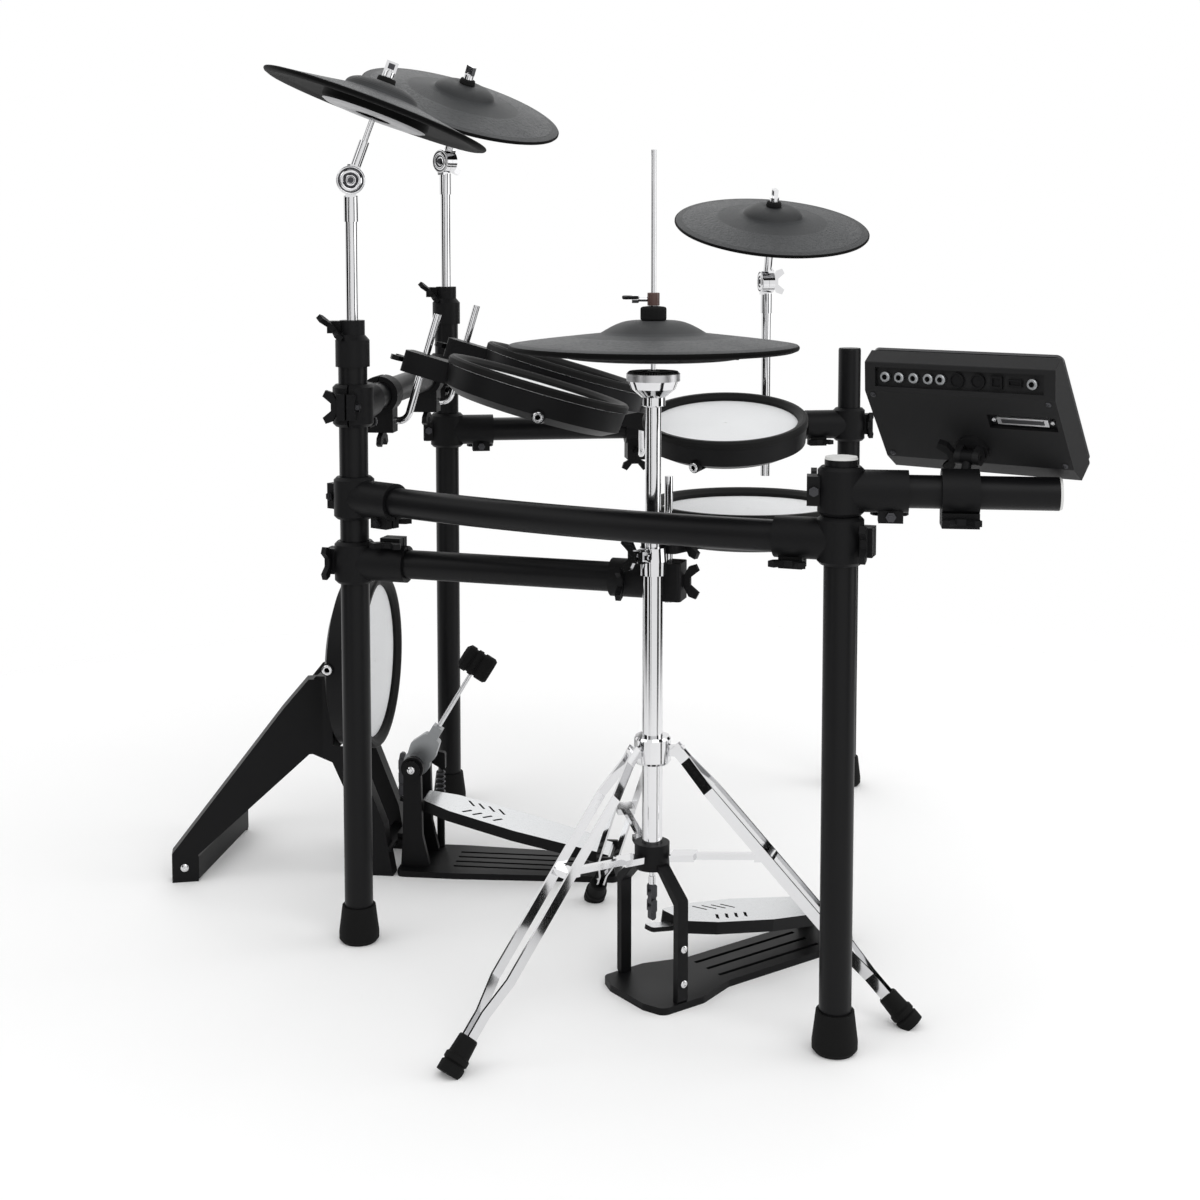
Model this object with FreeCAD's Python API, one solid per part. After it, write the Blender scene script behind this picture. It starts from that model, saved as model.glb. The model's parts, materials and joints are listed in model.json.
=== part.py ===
import FreeCAD, Part
import math
import os

# Electronic drum kit in millimetres: +X is the player's right, +Y points away from the player, +Z is up.
# The origin lies on the floor under the middle of the kick pedal's base plate.

Vec = FreeCAD.Vector
ORIGIN = Vec(0, 0, 0)
RIGHT = Vec(1, 0, 0)
AWAY = Vec(0, 1, 0)
UP = Vec(0, 0, 1)

# Rack tubes and the places of the four posts
TUBE_D = 38.1
TUBE_WALL = 2.0
FRONT_SPAN = 600.0
FRONT_Y = 174.0
WING_LENGTH = 685.0
LEFT_WING_ANGLE = 21.7
RIGHT_WING_ANGLE = 14.4
LEFT_BAR_SPLAY = 9.0
FRONT_BAR_Z = 729.0
LEFT_BAR_Z = 606.0
RIGHT_BAR_Z = 630.0
SNARE_ARM_Z = 520.0
MODULE_ARM_Z = 663.0
FRONT_LEFT_POST_TOP = 812.0
FRONT_RIGHT_POST_TOP = 838.0
REAR_LEFT_POST_TOP = 699.0
REAR_RIGHT_POST_TOP = 757.0
SNARE_ARM_ANGLE = 10.4
SNARE_ARM_LENGTH = 404.0
MODULE_ARM_LENGTH = 243.0
PLUG_THICKNESS = 3.0

# Rubber feet of the posts
FOOT_D = 54.0
FOOT_TOP_D = 45.0
FOOT_HEIGHT = 50.0
FOOT_FLOOR = 9.0

# Clamps that join tubes, and their wing screws
FIT_GAP = 0.3
CLAMP_WALL = 7.5
CLAMP_HEIGHT = 56.0
SOCKET_WALL = 5.0
SOCKET_REACH = 76.0
BAR_SETBACK = 23.0
SLIT = 2.5
LUG_REACH = 20.0
LUG_WIDTH = 24.0
LUG_HEIGHT = 34.0
SCREW_D = 6.0
SCREW_WING_SPAN = 44.0
SCREW_WING_RISE = 20.0
SCREW_WING_THICKNESS = 7.0

# Cymbal booms, tilters and pads
BOOM_D = 16.0
BOOM_WALL = 1.5
BOOM_BURIED = 92.0
BOOM_SLEEVE_D = 19.0
BOOM_SLEEVE_LENGTH = 34.0
HOLDER_D = 45.0
HOLDER_NECK_D = 33.0
HOLDER_DROP = 32.0
HOLDER_RISE = 29.0
TILTER_D = 38.0
TILTER_THICKNESS = 10.0
TILTER_PIN_D = 8.0
ARM_SLEEVE_D = 14.0
ARM_SLEEVE_END = 54.0
ARM_ROD_D = 8.0
ARM_LENGTH = 100.0
CYMBAL_D = 330.0
SMALL_CYMBAL_D = 306.0
CYMBAL_HOLE_D = 14.0
CYMBAL_SEAT_GAP = 0.9
SEAT_HEIGHT = 8.0
SEAT_WASHER_D = 20.0
CAN_MOUTH_D = 48.0
BELL_D = 100.0
BELL_RISE = 16.0
BOW_RISE = 18.0
CYMBAL_EDGE = 4.0
SENSOR_CAN_D = 146.0
SENSOR_CAN_DEPTH = 16.0
FELT_D = 26.0
FELT_HEIGHT = 8.0
CRASH_1_TILTER_Z = 1024.0
CRASH_1_TILT = 20.3
CRASH_1_TILT_HEADING = -74.0
CRASH_2_TILTER_Z = 1072.0
CRASH_2_TILT = 24.0
CRASH_2_TILT_HEADING = -127.0
RIDE_TILTER_Z = 872.0
RIDE_TILT = 17.3
RIDE_TILT_HEADING = -162.0
RIDE_ALONG_BAR = 550.0
RIDE_OFFSET = 48.0
RIDE_BOOM_LOW_Z = 537.0

# Drum pads on their rods
PAD_D = 260.0
PAD_RIM_WIDTH = 16.0
PAD_RIM_HEIGHT = 11.0
PAD_DEPTH = 50.0
PAD_WALL = 3.0
HEAD_THICKNESS = 1.0
PAD_FLOOR_D = 214.0
SENSOR_CONE_D = 34.0
PAD_BLOCK_WIDTH = 56.0
PAD_BLOCK_HEIGHT = 30.0
PAD_BLOCK_DROP = 13.0
PAD_BLOCK_END = 190.0
PAD_ROD_REACH = 165.0
PAD_ROD_D = 10.5
PAD_ROD_BEND = 16.0
PAD_JACK_AHEAD = 30.0
PAD_JACK_FROM_BACK = 8.0
JACK_BOSS_D = 18.0
JACK_D = 6.4
JACK_DEPTH = 14.0
JACK_BARREL = 28.0
JACK_SETBACK = 2.0
TOM_TILT = 16.5
TOM_HEADING = -76.5
TOM_1_X = -144.0
TOM_2_X = 146.0
TOM_ROD_Y = 138.0
TOM_ROD_TOP_Z = 842.0
TOM_PAD_UP_ROD = 110.0
ROD_DROP = 37.0
ROD_TAIL = 22.0
FLOOR_TOM_ALONG_BAR = 315.0
FLOOR_TOM_ROD_OFFSET = 80.0
FLOOR_TOM_TILT = 12.0
FLOOR_TOM_HEADING = 180.0
FLOOR_TOM_AIM = -122.0
FLOOR_TOM_PAD_UP_ROD = 96.0
FLOOR_TOM_ROD_LENGTH = 112.0
SNARE_ROD_BEYOND = 28.0
SNARE_ROD_TOP_Z = 652.0
SNARE_BLOCK_HEIGHT = 48.0
SNARE_RIM_Z = 602.0
SNARE_AIM = -34.3

# Kick pad and tower
KICK_FACE_Y = 213.0
KICK_Z = 312.0
KICK_DEPTH = 62.0
KICK_BACK_D = 196.0
KICK_JACK_RISE = 15.0
KICK_JACK_FROM_BACK = 12.0
TOWER_HALF_WIDTH = 60.0
TOWER_WALL = 3.0
TOWER_LIP = 4.8
TOWER_FLANGE = 26.0
TOWER_SPLAY = 17.4
TOWER_HEEL_Y = 185.0
TOWER_HEEL_DEPTH = 39.0
TOWER_HEEL_HEIGHT = 21.0
TOWER_SHIN_Y = 198.0
TOWER_SHIN_Z = 77.0
TOWER_CALF_DEPTH = 36.0
TOWER_KNEE_Y = 232.0
TOWER_KNEE_Z = 164.0
TOWER_TOP_Z = 300.0
TOWER_BROW_Y = 299.0
TOWER_BACK_THICKNESS = 6.0
TOWER_SHOULDER_Y = 344.0
TOWER_SHOULDER_Z = 254.0
TOWER_CROTCH_Y = 309.0
TOWER_CROTCH_Z = 183.0
TOWER_THIGH_Y = 276.0
TOWER_THIGH_Z = 170.0
TOWER_HIP_Y = 290.0
TOWER_TOE_REACH = 222.0
TOWER_TOE_DEPTH = 38.0
TOWER_TOE_HEIGHT = 43.0
TOWER_TOE_BAR_HEIGHT = 34.0
TOWER_TOE_BAR_LIFT = 4.0
HOOP_PLATE_Z = 38.0
HOOP_PLATE_THICKNESS = 5.0
HOOP_PLATE_HALF_WIDTH = 26.0
HOOP_PLATE_FRONT = 176.0
HOOP_PLATE_DEPTH = 36.0

# Kick pedal
KICK_BASE_FRONT = 180.0
KICK_BASE_HEEL = -150.0
KICK_BASE_HALF_WIDTH = 61.0
KICK_BASE_THICKNESS = 9.0
KICK_AXLE_Y = 160.0
KICK_AXLE_Z = 158.0
KICK_AXLE_D = 12.0
KICK_UPRIGHT_X = 34.0
KICK_UPRIGHT_THICKNESS = 10.0
KICK_UPRIGHT_WIDTH = 26.0
KICK_HINGE_Y = -132.0
KICK_HINGE_Z = 26.0
KICK_BOARD_ANGLE = 13.9
KICK_BOARD_LENGTH = 290.0
KICK_TAB_REACH = 328.0
BOARD_HALF_WIDTH = 44.0
BOARD_HEEL_HALF_WIDTH = 33.0
BOARD_TOE_HALF_WIDTH = 24.0
BOARD_SHOULDER = 44.0
BOARD_TAPER = 6.0
BOARD_THICKNESS = 5.0
BOARD_SKIRT = 16.0
HINGE_PIN_D = 6.0
HINGE_EAR_IN = 35.0
HINGE_EAR_OUT = 41.0
CAM_RADIUS = 20.0
CAM_TOP = 46.0
CAM_THICKNESS = 16.0
BEATER_REST = 31.0
BEATER_REACH = 179.0
BEATER_ROD_D = 6.5
BEATER_HEAD_D = 40.0
BEATER_HEAD_LENGTH = 50.0
SPRING_X = 52.0
SPRING_Y = 136.0
SPRING_D = 15.0
SPRING_WIRE = 2.0
SPRING_TURNS = 9
SPRING_LOW_Z = 60.0
SPRING_HIGH_Z = 128.0

# Chains of both pedals
LINK_PITCH = 9.5
LINK_PLATE = 1.6
LINK_DEPTH = 8.0
LINK_WIDTH = 11.0
LINK_CORNER = 0.45

# Hi-hat stand
HAT_ASIDE = 120.0
HAT_BEHIND = 409.0
HAT_LOWER_D = 25.4
HAT_LOWER_WALL = 1.8
HAT_UPPER_D = 19.6
HAT_UPPER_WALL = 1.6
HAT_CLAMP_Z = 552.0
HAT_CLAMP_HEIGHT = 34.0
HAT_UPPER_LOW_Z = 360.0
HAT_SEAT_Z = 757.0
HAT_SEAT_D = 62.0
HAT_SEAT_HEIGHT = 18.0
HAT_PUCK_D = 66.0
HAT_PUCK_HEIGHT = 12.0
HAT_ROD_D = 6.4
HAT_ROD_LOW_Z = 142.0
HAT_ROD_TOP_Z = 1056.0
HAT_PAD_D = 356.0
HAT_RIM_Z = 819.0
HAT_DOME_RISE = 30.0
HAT_BELLY_DROP = 16.0
HAT_BELLY_D = 236.0
HAT_BELLY_FLOOR_D = 210.0
HAT_FELT_D = 32.0
HAT_FELT_HEIGHT = 18.0
HAT_CLUTCH_D = 15.0
HAT_CLUTCH_HEIGHT = 16.0
COLLAR_Z = 315.0
COLLAR_D = 46.0
COLLAR_HEIGHT = 34.0
LEG_HEADINGS = (20.0, 140.0, 260.0)
LEG_FOOT_RADIUS = 306.0
LEG_FOOT_Z = 24.0
LEG_PIVOT_RADIUS = 34.0
STRAP_WIDTH = 14.0
STRAP_THICKNESS = 2.6
STRAP_SPREAD = 12.0
STRAP_PINCH = 3.4
BRACE_Z = 180.0
BRACE_AT = 0.42
LEG_FOOT_D = 30.0
LEG_FOOT_LENGTH = 46.0
HAT_PEDAL_HEADING = -47.0
HAT_FRAME_HALF_WIDTH = 58.0
HAT_FRAME_BAR = 16.0
HAT_FRAME_THICKNESS = 9.0
HAT_CASTING_Z = 164.0
HAT_CASTING_HEIGHT = 32.0
HAT_CASTING_D = 44.0
HAT_BASE_FRONT = -40.0
HAT_BASE_HEEL = 312.0
HAT_BASE_THICKNESS = 9.0
HAT_HINGE_REACH = 296.0
HAT_HINGE_Z = 38.0
HAT_BOARD_ANGLE = 9.6
HAT_BOARD_LENGTH = 268.0
HAT_TAB_REACH = 306.0
HAT_CHAIN_LOW_Z = 92.0

# Sound module
MODULE_ASIDE = 30.3
MODULE_ALONG_ARM = 150.3
MODULE_Z = 747.0
MODULE_YAW = 29.0
MODULE_LEAN = 54.0
MODULE_WIDTH = 230.0
MODULE_HEIGHT = 155.0
MODULE_DEPTH = 45.0
MODULE_LOW_DEPTH = 30.0
MODULE_BEVEL = 28.0
MODULE_LOW_BEVEL = 26.0
MODULE_EDGE = 4.0
SOCKET_RECESS = 5.0
SOCKET_ROW_HALF_WIDTH = 102.0
SOCKET_ROW_HALF_HEIGHT = 11.0
JACK_PLACES = (89.6, 72.0, 54.0, 36.0, 20.7, -88.0)
RING_JACK_D = 12.0
ROUND_SOCKET_PLACES = (1.5, -23.5)
ROUND_SOCKET_D = 17.0
PORT_PLACE = -45.7
SLOT_PLACE = -67.4
MULTIPIN_PLACE = -69.0
MULTIPIN_RISE = 14.0
MULTIPIN_WIDTH = 60.0
MULTIPIN_HEIGHT = 10.0
MULTIPIN_MARGIN = 10.0
MULTIPIN_DEPTH = 7.0
PANEL_THICKNESS = 4.0
KNOB_D = 22.0
KNOB_HEIGHT = 14.0
DIAL_D = 34.0
DIAL_HEIGHT = 10.0
BUTTON_SIZE = 14.0
BUTTON_HEIGHT = 5.0
BUTTON_GAP = 0.4
BUTTON_TRAVEL = 1.5
KNOB_AT = (82.0, 38.0)
DIAL_AT = (-72.0, 8.0)
BUTTON_AT = (60.0, -38.0)
MOUNT_PLATE_D = 38.0
MOUNT_PLATE_THICKNESS = 5.0
MOUNT_KNUCKLE_WIDTH = 14.0
MOUNT_RING_WIDTH = 42.0
MOUNT_KNUCKLE_D = 18.0
MOUNT_STEM_D = 11.0


# Directions and points that several pieces share
def heading(degrees):
    return Vec(math.cos(math.radians(degrees)), math.sin(math.radians(degrees)), 0)


def at_height(point, z):
    return Vec(point.x, point.y, z)


TUBE_R = TUBE_D / 2
BORE_R = TUBE_R + FIT_GAP
FRONT_LEFT = Vec(-FRONT_SPAN / 2, FRONT_Y, 0)
FRONT_RIGHT = Vec(FRONT_SPAN / 2, FRONT_Y, 0)
LEFT_DIR = heading(-90 - LEFT_WING_ANGLE)
RIGHT_DIR = heading(-90 + RIGHT_WING_ANGLE)
RIGHT_OUT = heading(RIGHT_WING_ANGLE)
REAR_LEFT = FRONT_LEFT + LEFT_DIR * WING_LENGTH
REAR_RIGHT = FRONT_RIGHT + RIGHT_DIR * WING_LENGTH
LEFT_BAR_START = heading(-90 - LEFT_WING_ANGLE - LEFT_BAR_SPLAY)
LEFT_BAR_END = heading(90 - LEFT_WING_ANGLE + LEFT_BAR_SPLAY)
SNARE_DIR = heading(-90 - SNARE_ARM_ANGLE)
SNARE_ROD_REACH = SNARE_ARM_LENGTH + SNARE_ROD_BEYOND
MODULE_ARM_DIR = heading(-90)
SNARE_ROD_FOOT = FRONT_LEFT + SNARE_DIR * SNARE_ROD_REACH
RIDE_FOOT = FRONT_RIGHT + RIGHT_DIR * RIDE_ALONG_BAR + RIGHT_OUT * RIDE_OFFSET
FLOOR_TOM_CLAMP = at_height(FRONT_RIGHT + RIGHT_DIR * FLOOR_TOM_ALONG_BAR, RIGHT_BAR_Z)
HAT = FRONT_LEFT - RIGHT * HAT_ASIDE - AWAY * HAT_BEHIND
HAT_DIR = heading(HAT_PEDAL_HEADING)
HAT_SIDE = heading(HAT_PEDAL_HEADING + 90)
KICK_AXLE = Vec(0, KICK_AXLE_Y, KICK_AXLE_Z)
KICK_HINGE = Vec(0, KICK_HINGE_Y, KICK_HINGE_Z)
HAT_HINGE = at_height(HAT + HAT_DIR * HAT_HINGE_REACH, HAT_HINGE_Z)


def leaning(degrees, toward):
    """The unit vector that leans from the vertical by an angle toward a compass heading."""
    lean = math.radians(degrees)
    return heading(toward) * math.sin(lean) + UP * math.cos(lean)


# Solids from a few operations
def matrix(origin, z_axis, x_hint):
    z = Vec(z_axis).normalize()
    x = (x_hint - z * x_hint.dot(z)).normalize()
    y = z.cross(x)
    return FreeCAD.Matrix(x.x, y.x, z.x, origin.x, x.y, y.y, z.y, origin.y,
                          x.z, y.z, z.z, origin.z, 0, 0, 0, 1)


def placed(shape, origin, z_axis=UP, x_hint=RIGHT):
    """A shape modelled on its own axes, set at an origin with its Z and X turned as told."""
    return shape.transformed(matrix(origin, z_axis, x_hint), True)


def cylinder(start, end, radius):
    return Part.makeCylinder(radius, (end - start).Length, start, end - start)


def tube(start, end, radius, wall):
    return cylinder(start, end, radius).cut(cylinder(start, end, radius - wall))


def block(x, y, z):
    """A box from three (low, high) pairs."""
    return Part.makeBox(x[1] - x[0], y[1] - y[0], z[1] - z[0], Vec(x[0], y[0], z[0]))


def turned(profile):
    """A closed profile of (radius, height) points turned round the Z axis."""
    points = [Vec(r, 0, z) for r, z in profile]
    return Part.Face(Part.makePolygon(points + points[:1])).revolve(ORIGIN, UP, 360)


def arc_corner(before, corner, after, radius):
    """The tangent arc that rounds one corner of an outline."""
    back = (before - corner).normalize()
    ahead = (after - corner).normalize()
    half = back.getAngle(ahead) / 2
    reach = radius / math.tan(half)
    middle = (back + ahead).normalize()
    top = corner + middle * (radius / math.sin(half) - radius)
    return Part.Arc(corner + back * reach, top, corner + ahead * reach)


def rounded_wire(points, radius):
    """A closed wire through points whose corners are all rounded by one radius."""
    count = len(points)
    arcs = [arc_corner(points[i - 1], points[i], points[(i + 1) % count], radius) for i in range(count)]
    edges = []
    for i, arc in enumerate(arcs):
        edges.append(arc.toShape())
        edges.append(Part.LineSegment(arc.EndPoint, arcs[(i + 1) % count].StartPoint).toShape())
    return Part.Wire(edges)


def plate(points, radius, low, high):
    """A flat plate: an (x, y) outline with rounded corners between two heights."""
    corners = [Vec(x, y, low) for x, y in points]
    wire = rounded_wire(corners, radius) if radius else Part.makePolygon(corners + corners[:1])
    return Part.Face(wire).extrude(UP * (high - low))


def bent_rod(points, radius, bend):
    """A round rod along straight runs whose corners are bent to one radius."""
    arcs = [arc_corner(points[i - 1], points[i], points[i + 1], bend) for i in range(1, len(points) - 1)]
    edges = []
    start = points[0]
    for arc in arcs:
        edges.append(Part.LineSegment(start, arc.StartPoint).toShape())
        edges.append(arc.toShape())
        start = arc.EndPoint
    edges.append(Part.LineSegment(start, points[-1]).toShape())
    ring = Part.Wire([Part.Circle(points[0], points[1] - points[0], radius).toShape()])
    return Part.Wire(edges).makePipeShell([ring], True, False)


def fused(first, *others):
    return first.fuse(list(others)).removeSplitter()


# Wing screws, on their own axis with the head's seat at zero
def wing_screw(grip, nut=True):
    half = SCREW_WING_SPAN / 2
    rise = SCREW_WING_RISE
    thick = SCREW_WING_THICKNESS / 2
    outline = [(-half, rise - 4), (-half + 8, rise), (-5, 9), (5, 9), (half - 8, rise), (half, rise - 4),
               (half - 3, 7), (6, 0), (-6, 0), (-half + 3, 7)]
    wings = plate(outline, 0, -thick, thick)
    wings = placed(wings, ORIGIN, AWAY * -1, RIGHT)
    shank = cylinder(UP * -(grip + 6 if nut else grip), UP * 2, SCREW_D / 2)
    solids = [shank]
    if nut:
        hexagon = [(6 * math.cos(math.radians(a)), 6 * math.sin(math.radians(a))) for a in range(0, 360, 60)]
        solids.append(plate(hexagon, 0, -grip - 5, -grip - FIT_GAP / 3))
    return fused(wings, *solids)


# The casting that grips a post and carries a bar, modelled with the post on Z and the bar along +X
def joint_clamp(center, bar_dir, up=UP):
    outer = BORE_R + CLAMP_WALL
    half = CLAMP_HEIGHT / 2
    lip = 4.0
    socket_r = BORE_R + SOCKET_WALL
    lug_y = LUG_WIDTH / 2
    far = 200.0
    collar = turned([(1, -half), (outer - lip, -half), (outer, lip - half), (outer, half - lip),
                     (outer - lip, half), (1, half)])
    socket = cylinder(ORIGIN, RIGHT * SOCKET_REACH, socket_r)
    rear_lug = block((-outer - LUG_REACH + 8, -10), (-lug_y, lug_y), (-LUG_HEIGHT / 2, LUG_HEIGHT / 2))
    under_lug = block((42, SOCKET_REACH - 6), (-lug_y, lug_y), (-socket_r - 11, -10))
    rear_hole = Vec(-outer - 4, 0, 0)
    under_hole = Vec(56, 0, -socket_r - 3.4)
    hole_r = SCREW_D / 2 + FIT_GAP
    cuts = [cylinder(UP * -far, UP * far, BORE_R),
            cylinder(RIGHT * (BAR_SETBACK - 0.5), RIGHT * far, BORE_R),
            block((-far, -10), (-SLIT / 2, SLIT / 2), (-far, far)),
            block((BAR_SETBACK + 10, far), (-SLIT / 2, SLIT / 2), (-far, -10)),
            cylinder(rear_hole - AWAY * far, rear_hole + AWAY * far, hole_r),
            cylinder(under_hole - AWAY * far, under_hole + AWAY * far, hole_r)]
    casting = collar.fuse([socket, rear_lug, under_lug]).cut(cuts)
    rear_screw = placed(wing_screw(LUG_WIDTH), rear_hole + AWAY * lug_y, AWAY, UP)
    under_screw = placed(wing_screw(LUG_WIDTH), under_hole + AWAY * lug_y, AWAY, RIGHT)
    return [placed(s, center, up, bar_dir) for s in (casting, rear_screw, under_screw)]


# The ring that grips a bar and holds a rod, with the bar along X and the rod along the block's own axis
def rod_clamp(rod_r, rod_axis, reach):
    outer = BORE_R + CLAMP_WALL
    half = 17.0
    cheek = 15.0
    ring = cylinder(RIGHT * -half, RIGHT * half, outer)
    arm = block((-cheek, cheek), (-19, 19), (-reach - 16, -10))
    rod_at = Vec(0, 0, -reach)
    screw_seat = Vec(0, 0, -reach - 16)
    far = 100.0
    cuts = [cylinder(RIGHT * -far, RIGHT * far, BORE_R),
            cylinder(rod_at - rod_axis * far, rod_at + rod_axis * far, rod_r + FIT_GAP),
            cylinder(screw_seat, rod_at, SCREW_D / 2 + FIT_GAP),
            block((-far, far), (-SLIT / 2, SLIT / 2), (10, far))]
    casting = ring.fuse(arm).cut(cuts)
    screw = placed(wing_screw(16 - rod_r - FIT_GAP, nut=False), screw_seat, UP * -1, RIGHT)
    return [casting, screw]


# Posts, bars and feet
def post(foot, top):
    return tube(at_height(foot, FOOT_FLOOR), at_height(foot, top), TUBE_R, TUBE_WALL)


def post_foot(foot):
    low = FOOT_D / 2
    rubber = turned([(0, 0), (low - 4, 0), (low, 5), (low, 14), (FOOT_TOP_D / 2, FOOT_HEIGHT),
                     (BORE_R, FOOT_HEIGHT), (BORE_R, FOOT_FLOOR), (0, FOOT_FLOOR)])
    return placed(rubber, foot)


def end_plug(end, out):
    cap = turned([(0, -8), (TUBE_R - TUBE_WALL - FIT_GAP, -8), (TUBE_R - TUBE_WALL - FIT_GAP, 0),
                  (TUBE_R, 0), (TUBE_R - 1, PLUG_THICKNESS), (0, PLUG_THICKNESS)])
    return placed(cap, end, out, UP if abs(out.z) < 0.5 else RIGHT)


def straight_bar(start, bar_dir, length, end_setback):
    return tube(start + bar_dir * BAR_SETBACK, start + bar_dir * (length - end_setback), TUBE_R, TUBE_WALL)


def bowed_bar():
    """The left bar: straight in both sockets and bent outward along one arc between them."""
    start = at_height(FRONT_LEFT, LEFT_BAR_Z)
    end = at_height(REAR_LEFT, LEFT_BAR_Z)
    corner = start + LEFT_BAR_START * (WING_LENGTH / 2 / math.cos(math.radians(LEFT_BAR_SPLAY)))
    run = (corner - start).Length - SOCKET_REACH - 8
    bend = run / math.tan(math.radians(LEFT_BAR_SPLAY))
    path = [start + LEFT_BAR_START * BAR_SETBACK, corner, end + LEFT_BAR_END * BAR_SETBACK]
    return bent_rod(path, TUBE_R, bend).cut(bent_rod(path, TUBE_R - TUBE_WALL, bend))


# Cymbal booms: a holder on the post, a tube with half a tilter, and the tilting arm
def boom_holder(foot, top):
    neck = HOLDER_NECK_D / 2
    outer = HOLDER_D / 2
    bore = BOOM_D / 2 + FIT_GAP
    far = 100.0
    body = turned([(BORE_R, -HOLDER_DROP), (outer, -HOLDER_DROP), (outer, 3), (neck, 10), (neck, HOLDER_RISE),
                   (bore, HOLDER_RISE), (bore, 0), (BORE_R, 0)])
    lug = block((-10, 10), (bore + 3, neck + 15), (12, HOLDER_RISE - 1))
    hole = Vec(0, neck + 7, 20)
    cuts = [block((-SLIT / 2, SLIT / 2), (0, far), (11, far)),
            cylinder(hole - RIGHT * far, hole + RIGHT * far, SCREW_D / 2 + FIT_GAP)]
    body = body.fuse(lug).cut(cuts)
    screw = placed(wing_screw(20), hole - RIGHT * 10, RIGHT * -1, Vec(0, 1, 1))
    return [placed(s, at_height(foot, top)) for s in (body, screw)]


def tilter_axis(toward):
    return heading(toward + 90)


def boom(foot, low_z, pivot_z, toward):
    pivot = at_height(foot, pivot_z)
    neck_top = pivot_z - TILTER_D / 2 - 1
    sleeve_low = neck_top - BOOM_SLEEVE_LENGTH
    play = FIT_GAP / 2
    stem = tube(at_height(foot, low_z), at_height(foot, sleeve_low), BOOM_D / 2, BOOM_WALL)
    sleeve = cylinder(at_height(foot, sleeve_low), at_height(foot, neck_top), BOOM_SLEEVE_D / 2)
    disc = cylinder(AWAY * -(TILTER_THICKNESS + play), AWAY * -play, TILTER_D / 2)
    cheek = block((-7, 7), (-TILTER_THICKNESS - play, -play), (-TILTER_D / 2 - 3, 0))
    pin = cylinder(AWAY * -(TILTER_THICKNESS + 4), AWAY * (TILTER_THICKNESS + 2), TILTER_PIN_D / 2)
    nut = placed(wing_screw(2, nut=False), AWAY * (TILTER_THICKNESS + 1), AWAY, UP)
    half = fused(disc, cheek, pin, nut)
    half = placed(half, pivot, UP, tilter_axis(toward).cross(UP))
    return fused(stem, sleeve, half)


def tilter(foot, pivot_z, tilt, toward):
    """The upper half of the tilter with its sleeve, rod, seat washer and top nut."""
    pivot = at_height(foot, pivot_z)
    play = FIT_GAP / 2
    disc = cylinder(AWAY * play, AWAY * (TILTER_THICKNESS + play), TILTER_D / 2)
    cheek = block((-7, 7), (play, TILTER_THICKNESS + play), (0, TILTER_D / 2 + 3))
    sleeve = cylinder(UP * (TILTER_D / 2 + 1), UP * ARM_SLEEVE_END, ARM_SLEEVE_D / 2)
    top = ARM_LENGTH + BOW_RISE + BELL_RISE + FELT_HEIGHT + CYMBAL_SEAT_GAP
    rod = cylinder(UP * ARM_SLEEVE_END, UP * (top + 10), ARM_ROD_D / 2)
    seat_top = ARM_LENGTH + SEAT_HEIGHT - CYMBAL_SEAT_GAP
    washer = cylinder(UP * (seat_top - 9), UP * seat_top, SEAT_WASHER_D / 2)
    nut = turned([(0, top), (8, top), (8, top + 7), (0, top + 7)])
    wings = block((-8, 8), (-3.5, 3.5), (top + 7, top + 21))
    bore = cylinder(AWAY * -1, AWAY * (TILTER_THICKNESS + 1), TILTER_PIN_D / 2 + FIT_GAP)
    arm = fused(disc.cut(bore), cheek.cut(bore), sleeve, rod, washer, nut, wings)
    return placed(arm, pivot, leaning(tilt, toward), tilter_axis(toward).cross(UP))


def cymbal_pad(foot, pivot_z, tilt, toward, diameter):
    edge = diameter / 2
    hole = CYMBAL_HOLE_D / 2
    can = SENSOR_CAN_D / 2
    bell = BELL_D / 2
    top = BOW_RISE + BELL_RISE
    mouth = CAN_MOUTH_D / 2
    floor = 3 - SENSOR_CAN_DEPTH
    body = turned([(hole, SEAT_HEIGHT), (mouth, SEAT_HEIGHT), (mouth, floor), (can - 8, floor),
                   (can, floor + 5), (can, 4), (edge - 26, -CYMBAL_EDGE), (edge - 8, -CYMBAL_EDGE - 3),
                   (edge, -CYMBAL_EDGE), (edge, 0), ((edge + bell) / 2, BOW_RISE * 0.54), (bell, BOW_RISE),
                   (bell - 12, BOW_RISE + BELL_RISE * 0.62), (bell - 28, top), (hole, top)])
    felt_top = top + FELT_HEIGHT
    felt = turned([(hole, top), (FELT_D / 2, top), (FELT_D / 2 - 2, felt_top), (hole, felt_top)])
    normal = leaning(tilt, toward)
    center = at_height(foot, pivot_z) + normal * ARM_LENGTH
    return [placed(s, center, normal, tilter_axis(toward)) for s in (body, felt)]


# Drum pads: shell, rim and sensor cone, and the head between them
def pad_shell(depth, floor_d):
    radius = PAD_D / 2
    seat = -PAD_RIM_HEIGHT - HEAD_THICKNESS
    wall = PAD_WALL
    return turned([(radius - 2, seat), (radius - 4, 10 - depth), (floor_d / 2, -depth), (0, -depth),
                   (0, wall - depth), (floor_d / 2 - 2, wall - depth), (radius - 4 - wall, 11 - depth),
                   (radius - 2 - wall, seat)])


def pad_rim():
    radius = PAD_D / 2
    inner = radius - PAD_RIM_WIDTH
    low = -PAD_RIM_HEIGHT
    return turned([(inner, low), (inner, low + 5), (inner + 5, -1.5), (inner + 8, 0), (radius - 3, 0),
                   (radius, -3), (radius, low)])


def pad_head():
    low = -PAD_RIM_HEIGHT - HEAD_THICKNESS
    return cylinder(UP * low, UP * -PAD_RIM_HEIGHT, PAD_D / 2 - PAD_WALL)


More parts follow.
